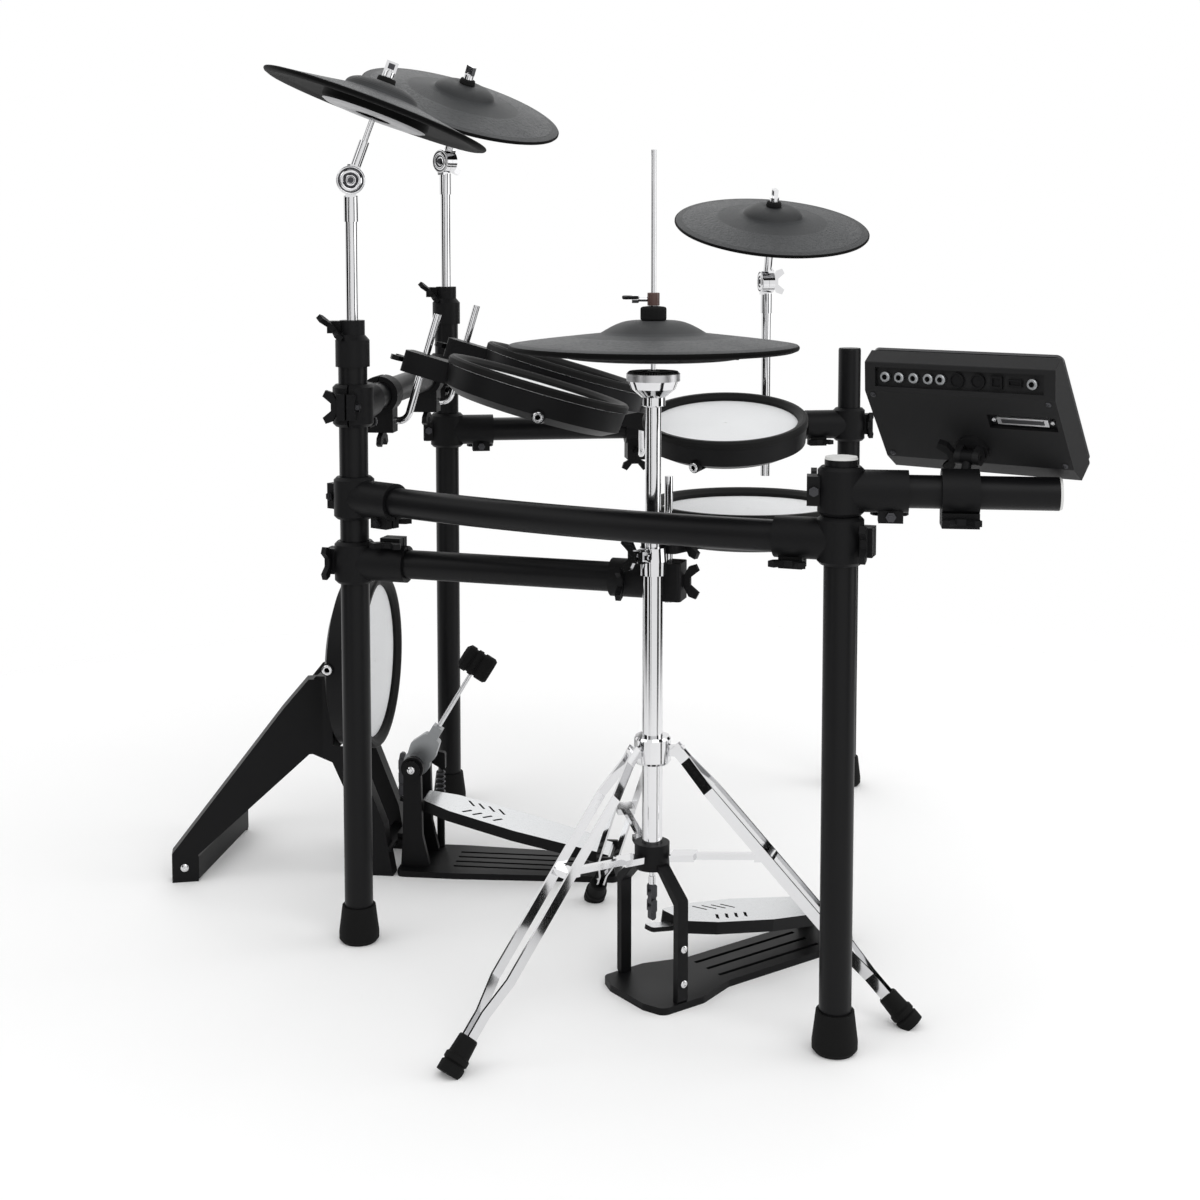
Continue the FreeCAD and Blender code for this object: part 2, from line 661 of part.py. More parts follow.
def sensor_cone(depth):
    low = PAD_WALL - depth
    top = -PAD_RIM_HEIGHT - HEAD_THICKNESS - FIT_GAP
    foot = SENSOR_CONE_D / 2
    return turned([(0, low), (foot, low), (foot, low + 6), (foot / 3, top), (0, top)])


def drum_pad(screw_at_side):
    """A pad with its rod block along +X, as shell, rim, cone and screw, and its head."""
    block_low = -PAD_BLOCK_DROP - PAD_BLOCK_HEIGHT
    half = PAD_BLOCK_WIDTH / 2
    near = PAD_D / 2 - 14
    arm = plate([(near, -half), (PAD_BLOCK_END, -half), (PAD_BLOCK_END, half), (near, half)], 7,
                block_low, -PAD_BLOCK_DROP)
    cavity = cylinder(UP * (PAD_WALL - PAD_DEPTH), UP * 5, PAD_D / 2 - 5.5)
    mouth = Vec(-PAD_JACK_AHEAD, PAD_D / 2 - JACK_SETBACK, PAD_JACK_FROM_BACK - PAD_DEPTH)
    boss = cylinder(mouth - AWAY * JACK_BARREL, mouth, JACK_BOSS_D / 2)
    jack = cylinder(mouth - AWAY * JACK_DEPTH, mouth, JACK_D / 2)
    rod_at = Vec(PAD_ROD_REACH, 0, 0)
    mid_z = -PAD_BLOCK_DROP - PAD_BLOCK_HEIGHT / 2
    out = AWAY if screw_at_side else RIGHT
    reach = half if screw_at_side else PAD_BLOCK_END - PAD_ROD_REACH
    seat = rod_at + out * reach + UP * mid_z
    grip = reach - PAD_ROD_D / 2 - FIT_GAP
    shell = pad_shell(PAD_DEPTH, PAD_FLOOR_D).fuse([arm.cut(cavity), boss.cut(cavity)])
    shell = shell.cut([jack, cylinder(rod_at - UP * 90, rod_at + UP * 90, PAD_ROD_D / 2 + FIT_GAP),
                       cylinder(seat - out * reach, seat, SCREW_D / 2 + FIT_GAP)])
    screw = placed(wing_screw(grip, nut=False), seat, out, UP if screw_at_side else AWAY)
    return [shell, pad_rim(), sensor_cone(PAD_DEPTH), screw], pad_head()


def set_pad(center, normal, toward_rod, screw_at_side):
    solids, head = drum_pad(screw_at_side)
    return [placed(s, center, normal, toward_rod) for s in solids], placed(head, center, normal, toward_rod)


# Rods that carry the pads, and where each pad hangs on its rod
TOM_NORMAL = leaning(TOM_TILT, TOM_HEADING)
FLOOR_TOM_NORMAL = leaning(FLOOR_TOM_TILT, FLOOR_TOM_HEADING)
FLOOR_TOM_CORNER = FLOOR_TOM_CLAMP - RIGHT_OUT * FLOOR_TOM_ROD_OFFSET - UP * ROD_DROP


def tom_corner(x):
    return Vec(x, TOM_ROD_Y, FRONT_BAR_Z - ROD_DROP)


def tom_rod(x):
    corner = tom_corner(x)
    rise = (TOM_ROD_TOP_Z - corner.z) / math.cos(math.radians(TOM_TILT))
    tail = Vec(x, FRONT_Y + ROD_TAIL, corner.z)
    return bent_rod([tail, corner, corner + TOM_NORMAL * rise], PAD_ROD_D / 2, PAD_ROD_BEND)


def floor_tom_rod():
    tail = FLOOR_TOM_CORNER + RIGHT_OUT * (FLOOR_TOM_ROD_OFFSET + ROD_TAIL)
    top = FLOOR_TOM_CORNER + FLOOR_TOM_NORMAL * FLOOR_TOM_ROD_LENGTH
    return bent_rod([tail, FLOOR_TOM_CORNER, top], PAD_ROD_D / 2, PAD_ROD_BEND)


def snare_rod():
    low = SNARE_ARM_Z - SNARE_BLOCK_HEIGHT / 2 - 4
    return cylinder(at_height(SNARE_ROD_FOOT, low), at_height(SNARE_ROD_FOOT, SNARE_ROD_TOP_Z), PAD_ROD_D / 2)


def hung_pad(rod_point, normal, toward_rod, screw_at_side=False):
    """A pad whose rod block holds the rod at a point, reaching back from the rod."""
    across = (toward_rod - normal * toward_rod.dot(normal)).normalize()
    return set_pad(rod_point - across * PAD_ROD_REACH, normal, across, screw_at_side)


def tom(x):
    return hung_pad(tom_corner(x) + TOM_NORMAL * TOM_PAD_UP_ROD, TOM_NORMAL, AWAY)


def floor_tom():
    point = FLOOR_TOM_CORNER + FLOOR_TOM_NORMAL * FLOOR_TOM_PAD_UP_ROD
    return hung_pad(point, FLOOR_TOM_NORMAL, heading(FLOOR_TOM_AIM + 180))


def snare():
    return hung_pad(at_height(SNARE_ROD_FOOT, SNARE_RIM_Z), UP, heading(SNARE_AIM + 180), screw_at_side=True)


def snare_end_clamp():
    """The block on the end of the snare arm with the arm along +X and the rod on Z."""
    start = SNARE_ARM_LENGTH - 46
    end = SNARE_ROD_REACH + 20
    half = SNARE_BLOCK_HEIGHT / 2
    side = BORE_R + SOCKET_WALL
    far = 300.0
    grip = end - SNARE_ROD_REACH - PAD_ROD_D / 2 - FIT_GAP
    sleeve = cylinder(RIGHT * start, RIGHT * (SNARE_ARM_LENGTH + 8), side)
    arm_end = SNARE_ARM_LENGTH
    end_block = plate([(arm_end, -19), (end, -19), (end, 19), (arm_end, 19)], 5, -half, half)
    side_seat = Vec(start + 20, -side, 0)
    end_seat = RIGHT * end
    rod_at = RIGHT * SNARE_ROD_REACH
    cuts = [cylinder(ORIGIN, RIGHT * (SNARE_ARM_LENGTH + 0.5), BORE_R),
            cylinder(rod_at - UP * far, rod_at + UP * far, PAD_ROD_D / 2 + FIT_GAP),
            cylinder(side_seat, side_seat + AWAY * side, SCREW_D / 2 + FIT_GAP),
            cylinder(rod_at, end_seat, SCREW_D / 2 + FIT_GAP)]
    casting = sleeve.fuse(end_block).cut(cuts)
    side_screw = placed(wing_screw(SOCKET_WALL, nut=False), side_seat, AWAY * -1, UP)
    end_screw = placed(wing_screw(grip, nut=False), end_seat, RIGHT, UP)
    origin = at_height(FRONT_LEFT, SNARE_ARM_Z)
    return [placed(s, origin, UP, SNARE_DIR) for s in (casting, side_screw, end_screw)]


# Kick pad and its folded-sheet tower
def kick_pad():
    center = Vec(0, KICK_FACE_Y, KICK_Z)
    mouth = Vec(JACK_SETBACK - PAD_D / 2, KICK_JACK_RISE, KICK_JACK_FROM_BACK - KICK_DEPTH)
    boss = cylinder(mouth + RIGHT * JACK_BARREL, mouth, JACK_BOSS_D / 2)
    jack = cylinder(mouth + RIGHT * JACK_DEPTH, mouth, JACK_D / 2)
    shell = pad_shell(KICK_DEPTH, KICK_BACK_D).fuse(boss).cut(jack)
    solids = [shell, pad_rim(), sensor_cone(KICK_DEPTH)]
    face = AWAY * -1
    return [placed(s, center, face, RIGHT) for s in solids], placed(pad_head(), center, face, RIGHT)


def side_plate(outline, radius, x_low, x_high):
    """A (y, z) outline with rounded corners, extruded across the kit between two X places."""
    return placed(plate(outline, radius, x_low, x_high), ORIGIN, RIGHT, AWAY)


def folded(outline, shift, depth):
    """A sheet with an (x, y) outline, its edges that face the shift folded back by one depth."""
    moved = [(x + shift[0], y + shift[1]) for x, y in outline]
    return plate(outline, 0, 0, depth).cut(plate(moved, 0, TOWER_WALL, depth + 1))


def kick_tower():
    """Two upright channels behind the pad, two splayed front legs, and the plates between them."""
    back = KICK_FACE_Y + KICK_DEPTH
    heel = TOWER_HEEL_Y
    upright = [(heel, 0), (heel + 4, TOWER_HEEL_HEIGHT), (TOWER_SHIN_Y, TOWER_SHIN_Z),
               (TOWER_KNEE_Y, TOWER_KNEE_Z), (back, TOWER_TOP_Z), (TOWER_BROW_Y, TOWER_TOP_Z),
               (TOWER_SHOULDER_Y, TOWER_SHOULDER_Z), (TOWER_CROTCH_Y, TOWER_CROTCH_Z),
               (TOWER_THIGH_Y, TOWER_THIGH_Z),
               (TOWER_SHIN_Y + TOWER_CALF_DEPTH, TOWER_SHIN_Z), (heel + TOWER_HEEL_DEPTH, TOWER_HEEL_HEIGHT),
               (heel + TOWER_HEEL_DEPTH, 0)]
    toe = TOWER_TOE_REACH
    stride = math.cos(math.radians(TOWER_SPLAY))
    shoulder = (TOWER_SHOULDER_Y - TOWER_HIP_Y) / stride
    crotch = (TOWER_CROTCH_Y - TOWER_HIP_Y) / stride
    hip = (back - TOWER_HIP_Y) / stride
    leg = [(toe, 0), (toe, TOWER_TOE_HEIGHT), (shoulder, TOWER_SHOULDER_Z), (crotch, TOWER_TOP_Z - 4),
           (hip, TOWER_TOP_Z - 4), (hip, TOWER_CROTCH_Z), (crotch, TOWER_CROTCH_Z),
           (toe - TOWER_TOE_DEPTH, TOWER_TOE_HEIGHT - 3), (toe - TOWER_TOE_DEPTH, 0)]
    solids = []
    for side in (-1, 1):
        hip_at = Vec(side * TOWER_HALF_WIDTH, TOWER_HIP_Y, 0)
        solids.append(outward(folded(upright, (TOWER_WALL, -TOWER_LIP), TOWER_FLANGE),
                              RIGHT * (side * TOWER_HALF_WIDTH), AWAY, side))
        solids.append(outward(folded(leg, (-TOWER_WALL, -TOWER_LIP), TOWER_FLANGE),
                              hip_at, heading(90 - side * TOWER_SPLAY), side))
    toe_y = TOWER_HIP_Y + (toe - TOWER_TOE_DEPTH) * stride
    toe_x = TOWER_HALF_WIDTH + (toe - TOWER_TOE_DEPTH) * math.sin(math.radians(TOWER_SPLAY))
    bar_top = TOWER_TOE_BAR_LIFT + TOWER_TOE_BAR_HEIGHT
    toe_bar = block((-toe_x, toe_x), (toe_y - 1, toe_y + 5), (TOWER_TOE_BAR_LIFT, bar_top))
    wide = TOWER_HALF_WIDTH - 1
    pad_plate = block((-wide, wide), (back, back + TOWER_BACK_THICKNESS), (TOWER_CROTCH_Z, TOWER_TOP_Z - 1))
    half = HOOP_PLATE_HALF_WIDTH
    front = HOOP_PLATE_FRONT
    step = heel + TOWER_WALL
    end = front + HOOP_PLATE_DEPTH
    hoop = plate([(-half, front), (half, front), (half, step), (wide, step), (wide, end), (-wide, end),
                  (-wide, step), (-half, step)], 0, HOOP_PLATE_Z, HOOP_PLATE_Z + HOOP_PLATE_THICKNESS)
    around_pad = cylinder(Vec(0, KICK_FACE_Y - 40, KICK_Z), Vec(0, back, KICK_Z), PAD_D / 2 + 1)
    return solids[0].fuse(solids[1:] + [toe_bar, pad_plate, hoop]).cut(around_pad).removeSplitter()


def outward(sheet, origin, along, side):
    """A sheet set upright along a heading, with its flat face on the outer side of the kit."""
    inward = along.cross(UP) * -side
    shape = sheet if side < 0 else sheet.mirror(ORIGIN, UP)
    return placed(shape, origin, inward * -side, along)


# Pedals: a footboard on its own axes, hinge at the origin, toe along +X and the tread facing up
def footboard(length, tab_reach):
    mid = BOARD_HALF_WIDTH
    heel = BOARD_HEEL_HALF_WIDTH
    toe = BOARD_TOE_HALF_WIDTH
    top = 11.0

    def outline(inset):
        shoulder = length - BOARD_SHOULDER - inset / 2
        half = [(10 + inset, heel - inset), (length / 2, mid - inset), (shoulder, mid - BOARD_TAPER - inset),
                (length - inset, toe - inset)]
        return [(x, -y) for x, y in half] + [(x, y) for x, y in reversed(half)]

    tread = plate(outline(0), 7, top - BOARD_SKIRT, top)
    hollow = plate(outline(PAD_WALL), 5, top - BOARD_SKIRT - 1, top - BOARD_THICKNESS)
    slots = []
    for row in range(4):
        for side in (-1, 1):
            slot = placed(block((-10, 10), (-2, 2), (0, 20)), Vec(length * 0.6 + row * 16, side * 18, 0), UP,
                          heading(side * 55))
            slots.append(slot)
    barrel = cylinder(AWAY * -30, AWAY * 30, 6)
    web = block((0, 18), (-29, 29), (-3, 9))
    pin = cylinder(AWAY * -HINGE_EAR_OUT, AWAY * HINGE_EAR_OUT, HINGE_PIN_D / 2)
    tab = plate([(length - 14, -9), (tab_reach, -9), (tab_reach, 9), (length - 14, 9)], 4, -6, 0)
    step = block((length - 14, length - 8), (-9, 9), (-6, top - 2))
    return fused(tread.cut([hollow] + slots), barrel, web, pin, tab, step)


def hinge_ears(base_top):
    """The two ears of a heel hinge, on the footboard's own axes, standing on the base plate below."""
    ears = []
    for side in (-1, 1):
        low, high = sorted((side * HINGE_EAR_IN, side * HINGE_EAR_OUT))
        ear = plate([(-14, base_top), (13, base_top), (9, 9), (-9, 9)], 2, -high, -low)
        ear = placed(ear, ORIGIN, AWAY * -1, RIGHT)
        ears.append(ear.cut(cylinder(AWAY * -80, AWAY * 80, HINGE_PIN_D / 2 + FIT_GAP)))
    return ears


def kick_footboard():
    board = footboard(KICK_BOARD_LENGTH, KICK_TAB_REACH)
    return placed(board, KICK_HINGE, leaning(KICK_BOARD_ANGLE, -90), AWAY)


def kick_base():
    top = KICK_BASE_THICKNESS
    wide = KICK_BASE_HALF_WIDTH
    front = KICK_BASE_FRONT
    base = plate([(-wide, front), (-wide, 90), (-wide + 14, KICK_BASE_HEEL), (wide - 14, KICK_BASE_HEEL),
                  (wide, 90), (wide, front)], 10, 0, top)
    groove = block((-3, 3), (KICK_BASE_HEEL + 50, 100), (top - 3, top + 1))
    grooves = [placed(groove, RIGHT * x) for x in (-30, -10, 10, 30)]
    solids = []
    for side in (-1, 1):
        low = side * KICK_UPRIGHT_X - KICK_UPRIGHT_THICKNESS / 2
        high = low + KICK_UPRIGHT_THICKNESS
        half = KICK_UPRIGHT_WIDTH / 2
        y = KICK_AXLE_Y
        leg = side_plate([(y + 18, top - 1), (y - 26, top - 1), (y - half - 2, 56), (y - half, KICK_AXLE_Z),
                          (y + half, KICK_AXLE_Z), (y + half + 2, 56)], 4, low, high)
        bearing = cylinder(Vec(low, y, KICK_AXLE_Z), Vec(high, y, KICK_AXLE_Z), 17)
        solids += [leg, bearing]
    clamp = block((-20, 20), (front - 24, front - 1), (top - 1, HOOP_PLATE_Z - FIT_GAP))
    hoop_top = HOOP_PLATE_Z + HOOP_PLATE_THICKNESS
    bolt = block((-12, 12), (front - 16, front - 8), (HOOP_PLATE_Z - 4, hoop_top + 4))
    jaw_low = hoop_top + FIT_GAP
    jaw = block((-18, 18), (front - 18, front + 8), (jaw_low, jaw_low + 8))
    post_at = Vec(SPRING_X, SPRING_Y, 0)
    anchor = cylinder(post_at + UP * (top - 1), post_at + UP * (SPRING_LOW_Z - SPRING_WIRE / 2 - FIT_GAP), 6)
    ears = [placed(e, KICK_HINGE, UP, AWAY) for e in hinge_ears(top - 1 - KICK_HINGE_Z)]
    body = base.cut(grooves).fuse(solids + [clamp, bolt, jaw, anchor] + ears)
    bore = cylinder(KICK_AXLE - RIGHT * 90, KICK_AXLE + RIGHT * 90, KICK_AXLE_D / 2 + FIT_GAP)
    return body.cut(bore).removeSplitter()


def kick_beater():
    """Axle, cam, spring crank, rod and head, on axes with the rod along Z and the stroke along Y."""
    out = KICK_UPRIGHT_X + KICK_UPRIGHT_THICKNESS / 2 + FIT_GAP
    axle = cylinder(RIGHT * -(out + 7), RIGHT * (SPRING_X + 7), KICK_AXLE_D / 2)
    caps = [cylinder(RIGHT * -(out + 7), RIGHT * -out, 13), cylinder(RIGHT * out, RIGHT * (out + 5), 13)]
    half = CAM_THICKNESS / 2
    hub = cylinder(RIGHT * -half, RIGHT * half, CAM_RADIUS)
    cam = side_plate([(-14, 0), (CAM_RADIUS - 2, 0), (CAM_RADIUS + 3, 22), (12, CAM_TOP), (-14, CAM_TOP),
                      (-20, 20)], 5, -half, half)
    holder = block((-8, 8), (-8, 8), (CAM_TOP - 6, CAM_TOP + 18))
    rod = cylinder(UP * CAM_TOP, UP * (BEATER_REACH + 8), BEATER_ROD_D / 2)
    face = BEATER_HEAD_LENGTH / 2
    big = BEATER_HEAD_D / 2
    waist = big - 2
    head = turned([(0, -face), (big - 3, -face), (big, 4 - face), (big, -6), (waist, -5), (waist, -2),
                   (big, -1), (big, 6), (waist, 7), (waist, 10), (big, 11), (big, face - 5), (big - 6, face),
                   (0, face)])
    head = placed(head, UP * BEATER_REACH, AWAY, RIGHT)
    moving = fused(axle, *caps, hub, cam, holder, rod, head)
    lean = leaning(BEATER_REST, -90)
    moving = placed(moving, KICK_AXLE, lean, RIGHT)
    low = SPRING_HIGH_Z + SPRING_WIRE / 2 + FIT_GAP
    y = KICK_AXLE_Y
    z = KICK_AXLE_Z
    crank = side_plate([(SPRING_Y - 8, low), (y, z - 10), (y + 9, z + 8), (SPRING_Y - 8, z)], 3,
                       SPRING_X - 5, SPRING_X + 5)
    return fused(moving, crank)


def biarc(start, start_dir, end, end_dir):
    """Two arcs that meet smoothly between two points with given directions."""
    span = end - start
    both = start_dir + end_dir
    turn = 2 * (1 - start_dir.dot(end_dir))
    reach = (-span.dot(both) + math.sqrt(span.dot(both) ** 2 + turn * span.dot(span))) / turn
    first = start + start_dir * reach
    second = end - end_dir * reach
    meet = (first + second) * 0.5
    return [tangent_arc(start, first, meet), tangent_arc(meet, second, end)]


def tangent_arc(start, corner, end):
    middle = (start + end) * 0.5
    half = (end - start).Length / 2
    rise = corner - middle
    swing = math.atan2(rise.Length, half) / 2
    return Part.Arc(start, middle + rise.normalize() * (half * math.tan(swing)), end).toShape()


def coil(center, low, high, turns, mean_r, wire_r):
    """A spring of half-turn biarcs round a vertical axis, swept as one unbroken wire."""
    climb = (high - low) / (turns * 2 * math.pi)
    points = []
    for step in range(2 * turns + 1):
        angle = step * math.pi
        round_dir = Vec(math.cos(angle), math.sin(angle), 0)
        along = (UP.cross(round_dir) * mean_r + UP * climb).normalize()
        points.append((center + round_dir * mean_r + UP * (low + climb * angle), along))
    edges = []
    for (start, start_dir), (end, end_dir) in zip(points, points[1:]):
        edges += biarc(start, start_dir, end, end_dir)
    ring = Part.Wire([Part.Circle(points[0][0], points[0][1], wire_r).toShape()])
    return Part.Wire(edges).makePipeShell([ring], True, False)


def coil_gap():
    """The least space between neighbouring curls of the spring."""
    pitch = (SPRING_HIGH_Z - SPRING_LOW_Z) / SPRING_TURNS
    mean_r = (SPRING_D - SPRING_WIRE) / 2
    curl = [heading(a) * mean_r + UP * (pitch * a / 360) for a in range(0, 360, 2)]
    start = Vec(mean_r, 0, pitch)
    return min((p - start).Length for p in curl[:len(curl) // 2]) - SPRING_WIRE


def kick_spring():
    center = Vec(SPRING_X, SPRING_Y, 0)
    mean_r = (SPRING_D - SPRING_WIRE) / 2
    return coil(center, SPRING_LOW_Z, SPRING_HIGH_Z, SPRING_TURNS, mean_r, SPRING_WIRE / 2)


def chain(points, axis):
    """Links between neighbouring points: inner blocks and outer pairs of plates in turn."""
    half = LINK_DEPTH / 2
    corner = half * LINK_CORNER
    solids = []
    for i, (start, end) in enumerate(zip(points, points[1:])):
        reach = (end - start).Length
        outline = [(-half, -corner), (-corner, -half), (reach + corner, -half), (reach + half, -corner),
                   (reach + half, corner), (reach + corner, half), (-corner, half), (-half, corner)]
        inner = LINK_WIDTH / 2 - LINK_PLATE
        if i % 2:
            sides = [(-inner + FIT_GAP, inner - FIT_GAP)]
        else:
            sides = [(-LINK_WIDTH / 2, -inner), (inner, LINK_WIDTH / 2)]
        solids += [placed(plate(outline, 0, low, high), start, axis, end - start) for low, high in sides]
    return solids


def kick_chain():
    """Up from the toe of the footboard and on round the front of the cam."""
    radius = math.hypot(CAM_RADIUS + LINK_DEPTH / 2 + FIT_GAP, LINK_PITCH / 2)
    front = KICK_AXLE + AWAY * radius
    slope = math.tan(math.radians(KICK_BOARD_ANGLE))
    tab_z = KICK_HINGE_Z + (front.y - KICK_HINGE_Y) * slope
    low_z = tab_z + LINK_DEPTH / 2 * (1 + LINK_CORNER * slope) + FIT_GAP
    count = round((front.z - low_z) / LINK_PITCH)
    points = [front - UP * ((front.z - low_z) * i / count) for i in range(count, 0, -1)]
    step = 2 * math.asin(LINK_PITCH / 2 / radius)
    points += [KICK_AXLE + (AWAY * math.cos(step * i) + UP * math.sin(step * i)) * radius for i in range(2)]
    return chain(points, RIGHT)


# Hi-hat stand
def hat_frame():
    """Base plate, arch and casting of the hi-hat pedal, with the heel along +X and the column on Z."""
    top = HAT_BASE_THICKNESS
    wide = HAT_FRAME_HALF_WIDTH + HAT_FRAME_THICKNESS / 2
    base = plate([(HAT_BASE_FRONT, -34), (-30, -wide), (34, -wide), (90, -44), (HAT_BASE_HEEL, -44),
                  (HAT_BASE_HEEL, 44), (90, 44), (34, wide), (-30, wide), (HAT_BASE_FRONT, 34)], 12, 0, top)
    grooves = [block((90, HAT_BASE_HEEL - 50), (y - 3, y + 3), (top - 3, top + 1)) for y in (-24, 0, 24)]
    high = HAT_CASTING_Z + HAT_CASTING_HEIGHT
    inner = wide - HAT_FRAME_THICKNESS
    shoulder = HAT_CASTING_Z + 8
    elbow = HAT_CASTING_Z - 26
    arch = plate([(-wide, top - 1), (wide, top - 1), (wide, elbow), (24, shoulder), (-24, shoulder),
                  (-wide, elbow)], 6, -HAT_FRAME_BAR / 2, HAT_FRAME_BAR / 2)
    gap = plate([(-inner, -20), (inner, -20), (inner, elbow - 6), (22, HAT_CASTING_Z),
                 (-22, HAT_CASTING_Z), (-inner, elbow - 6)], 5, -HAT_FRAME_BAR, HAT_FRAME_BAR)
    arch = placed(arch.cut(gap), ORIGIN, RIGHT, AWAY)
    casting = cylinder(UP * HAT_CASTING_Z, UP * high, HAT_CASTING_D / 2)
    hinge = Vec(HAT_HINGE_REACH, 0, HAT_HINGE_Z)
    ears = [placed(e, hinge, UP, RIGHT * -1) for e in hinge_ears(top - 1 - HAT_HINGE_Z)]
    body = base.cut(grooves).fuse([arch, casting] + ears)
    cuts = [cylinder(UP * (HAT_CASTING_Z + 8), UP * (high + 1), HAT_LOWER_D / 2 + FIT_GAP),
            cylinder(UP * (HAT_CASTING_Z - 1), UP * high, HAT_ROD_D / 2 + FIT_GAP)]
    return placed(body.cut(cuts).removeSplitter(), HAT, UP, HAT_DIR)


def hat_lower_tube():
    """Lower tube, the leg collar and the height clamp, on the column's axis."""
    clamp_low = HAT_CLAMP_Z - HAT_CLAMP_HEIGHT / 2
    clamp_high = HAT_CLAMP_Z + HAT_CLAMP_HEIGHT / 2
    bore = HAT_LOWER_D / 2 + FIT_GAP
    slide = HAT_UPPER_D / 2 + FIT_GAP
    far = 80.0
    lower = tube(UP * (HAT_CASTING_Z + 8), UP * HAT_CLAMP_Z, HAT_LOWER_D / 2, HAT_LOWER_WALL)
    step = HAT_CLAMP_Z + FIT_GAP
    clamp = turned([(bore, clamp_low), (bore + 4, clamp_low), (bore + 4.5, HAT_CLAMP_Z),
                    (slide + 6, clamp_high), (slide, clamp_high), (slide, step), (bore, step)])
    lug = block((slide + 3, bore + 20), (-8, 8), (HAT_CLAMP_Z + 1, clamp_high - 1))
    hole = Vec(bore + 13, 0, HAT_CLAMP_Z + 9)
    clamp = clamp.fuse(lug).cut([block((0, far), (-1, 1), (HAT_CLAMP_Z - 4, far * 20)),
                                 cylinder(hole - AWAY * far, hole + AWAY * far, SCREW_D / 2 + FIT_GAP)])
    screw = placed(wing_screw(16), hole - AWAY * 8, AWAY * -1, UP)
    solids = [placed(s, ORIGIN, UP, heading(150)) for s in (clamp, screw)]
    low = COLLAR_Z - COLLAR_HEIGHT / 2
    high = COLLAR_Z + COLLAR_HEIGHT / 2
    outer = COLLAR_D / 2
    ring = turned([(bore, low), (outer - 2, low), (outer, low + 3), (outer, high - 3), (outer - 2, high),
                   (bore, high)])
    flat = STRAP_PINCH - FIT_GAP
    tongue = block((bore + 2, LEG_PIVOT_RADIUS + 7), (-flat, flat), (-7, 7))
    collar = ring.fuse([placed(tongue, UP * COLLAR_Z, UP, heading(a)) for a in LEG_HEADINGS])
    return [placed(s, HAT) for s in [lower, collar] + solids]


def leg_frame(angle):
    """Origin, run and length of one leg of the tripod."""
    start = HAT + heading(angle) * LEG_PIVOT_RADIUS + UP * COLLAR_Z
    end = HAT + heading(angle) * LEG_FOOT_RADIUS + UP * LEG_FOOT_Z
    return start, (end - start).normalize(), (end - start).Length


def hat_leg(angle):
    """Two jogged straps from the collar to the foot, and the brace between them to the casting."""
    start, run, length = leg_frame(angle)
    side = heading(angle + 90)
    half = STRAP_WIDTH / 2
    pinch = STRAP_PINCH
    spread = STRAP_SPREAD
    thick = STRAP_THICKNESS
    centre = [(-8, pinch), (14, pinch), (60, spread), (length - 90, spread), (length - 46, pinch),
              (length - 2, pinch)]
    outline = centre + [(x, y + thick) for x, y in reversed(centre)]
    strap = plate(outline, 0, -half, half)
    mirror = plate([(x, -y) for x, y in outline], 0, -half, half)
    solids = [placed(s, start, run.cross(side), run) for s in (strap, mirror)]
    joint = start + run * (length * BRACE_AT)
    inner = HAT + heading(angle) * (HAT_CASTING_D / 2 + FIT_GAP) + UP * BRACE_Z
    reach = (joint - inner).Length
    flat = block((3, reach + 7), (-4, 4), (-spread + FIT_GAP, spread - FIT_GAP))
    waist = (34, reach - 16)
    sides = [block(waist, (-9, 9), (3.5, spread + 1)), block(waist, (-9, 9), (-spread - 1, -3.5))]
    brace = placed(flat.cut(sides), inner, side, joint - inner)
    return solids + [brace]


def hat_foot(angle):
    start, run, length = leg_frame(angle)
    big = LEG_FOOT_D / 2
    up = LEG_FOOT_LENGTH * 0.35
    down = LEG_FOOT_LENGTH * 0.65
    rubber = turned([(0, -up), (big - 4, -up), (big - 3, 2 - up), (big - 2, 6), (big, 8), (big, 14),
                     (big - 2, 16), (big, 18), (big, down), (0, down)])
    slot_y = STRAP_PINCH + STRAP_THICKNESS + FIT_GAP
    slot = block((-STRAP_WIDTH / 2 - FIT_GAP, STRAP_WIDTH / 2 + FIT_GAP), (-slot_y, slot_y), (-up - 1, -1))
    side = heading(angle + 90)
    foot = placed(rubber.cut(slot), start + run * length, run, run.cross(side))
    under = block((-2000, 2000), (-2000, 2000), (-100, 0))
    return foot.cut(under)


def hat_upper_tube():
    """Upper tube with the cup that the pad's puck rests in."""
    bore = HAT_UPPER_D / 2 - HAT_UPPER_WALL
    outer = HAT_UPPER_D / 2
    cup = HAT_SEAT_D / 2
    seat = HAT_SEAT_Z
    start = HAT_UPPER_LOW_Z
    low = seat + HAT_SEAT_HEIGHT
    stem = turned([(bore, start), (outer, start), (outer, seat - 14), (outer + 5, seat - 12),
                   (outer + 5, seat - 2), (cup - 4, seat + 8), (cup, low), (cup - 3, low), (cup - 7, seat + 11),
                   (bore, seat + 11)])
    wide = HAT_PUCK_D / 2
    high = low + HAT_PUCK_HEIGHT
    puck = turned([(8, low), (wide, low), (wide, high - 3), (wide - 3, high), (8, high)])
    return [placed(s, HAT) for s in (stem, puck)]


def hat_pull_rod():
    rod = cylinder(UP * HAT_ROD_LOW_Z, UP * HAT_ROD_TOP_Z, HAT_ROD_D / 2)
    nut = cylinder(UP * HAT_ROD_LOW_Z, UP * (HAT_ROD_LOW_Z + 10), HAT_ROD_D / 2 + 1.2)
    return placed(fused(rod, nut), HAT)


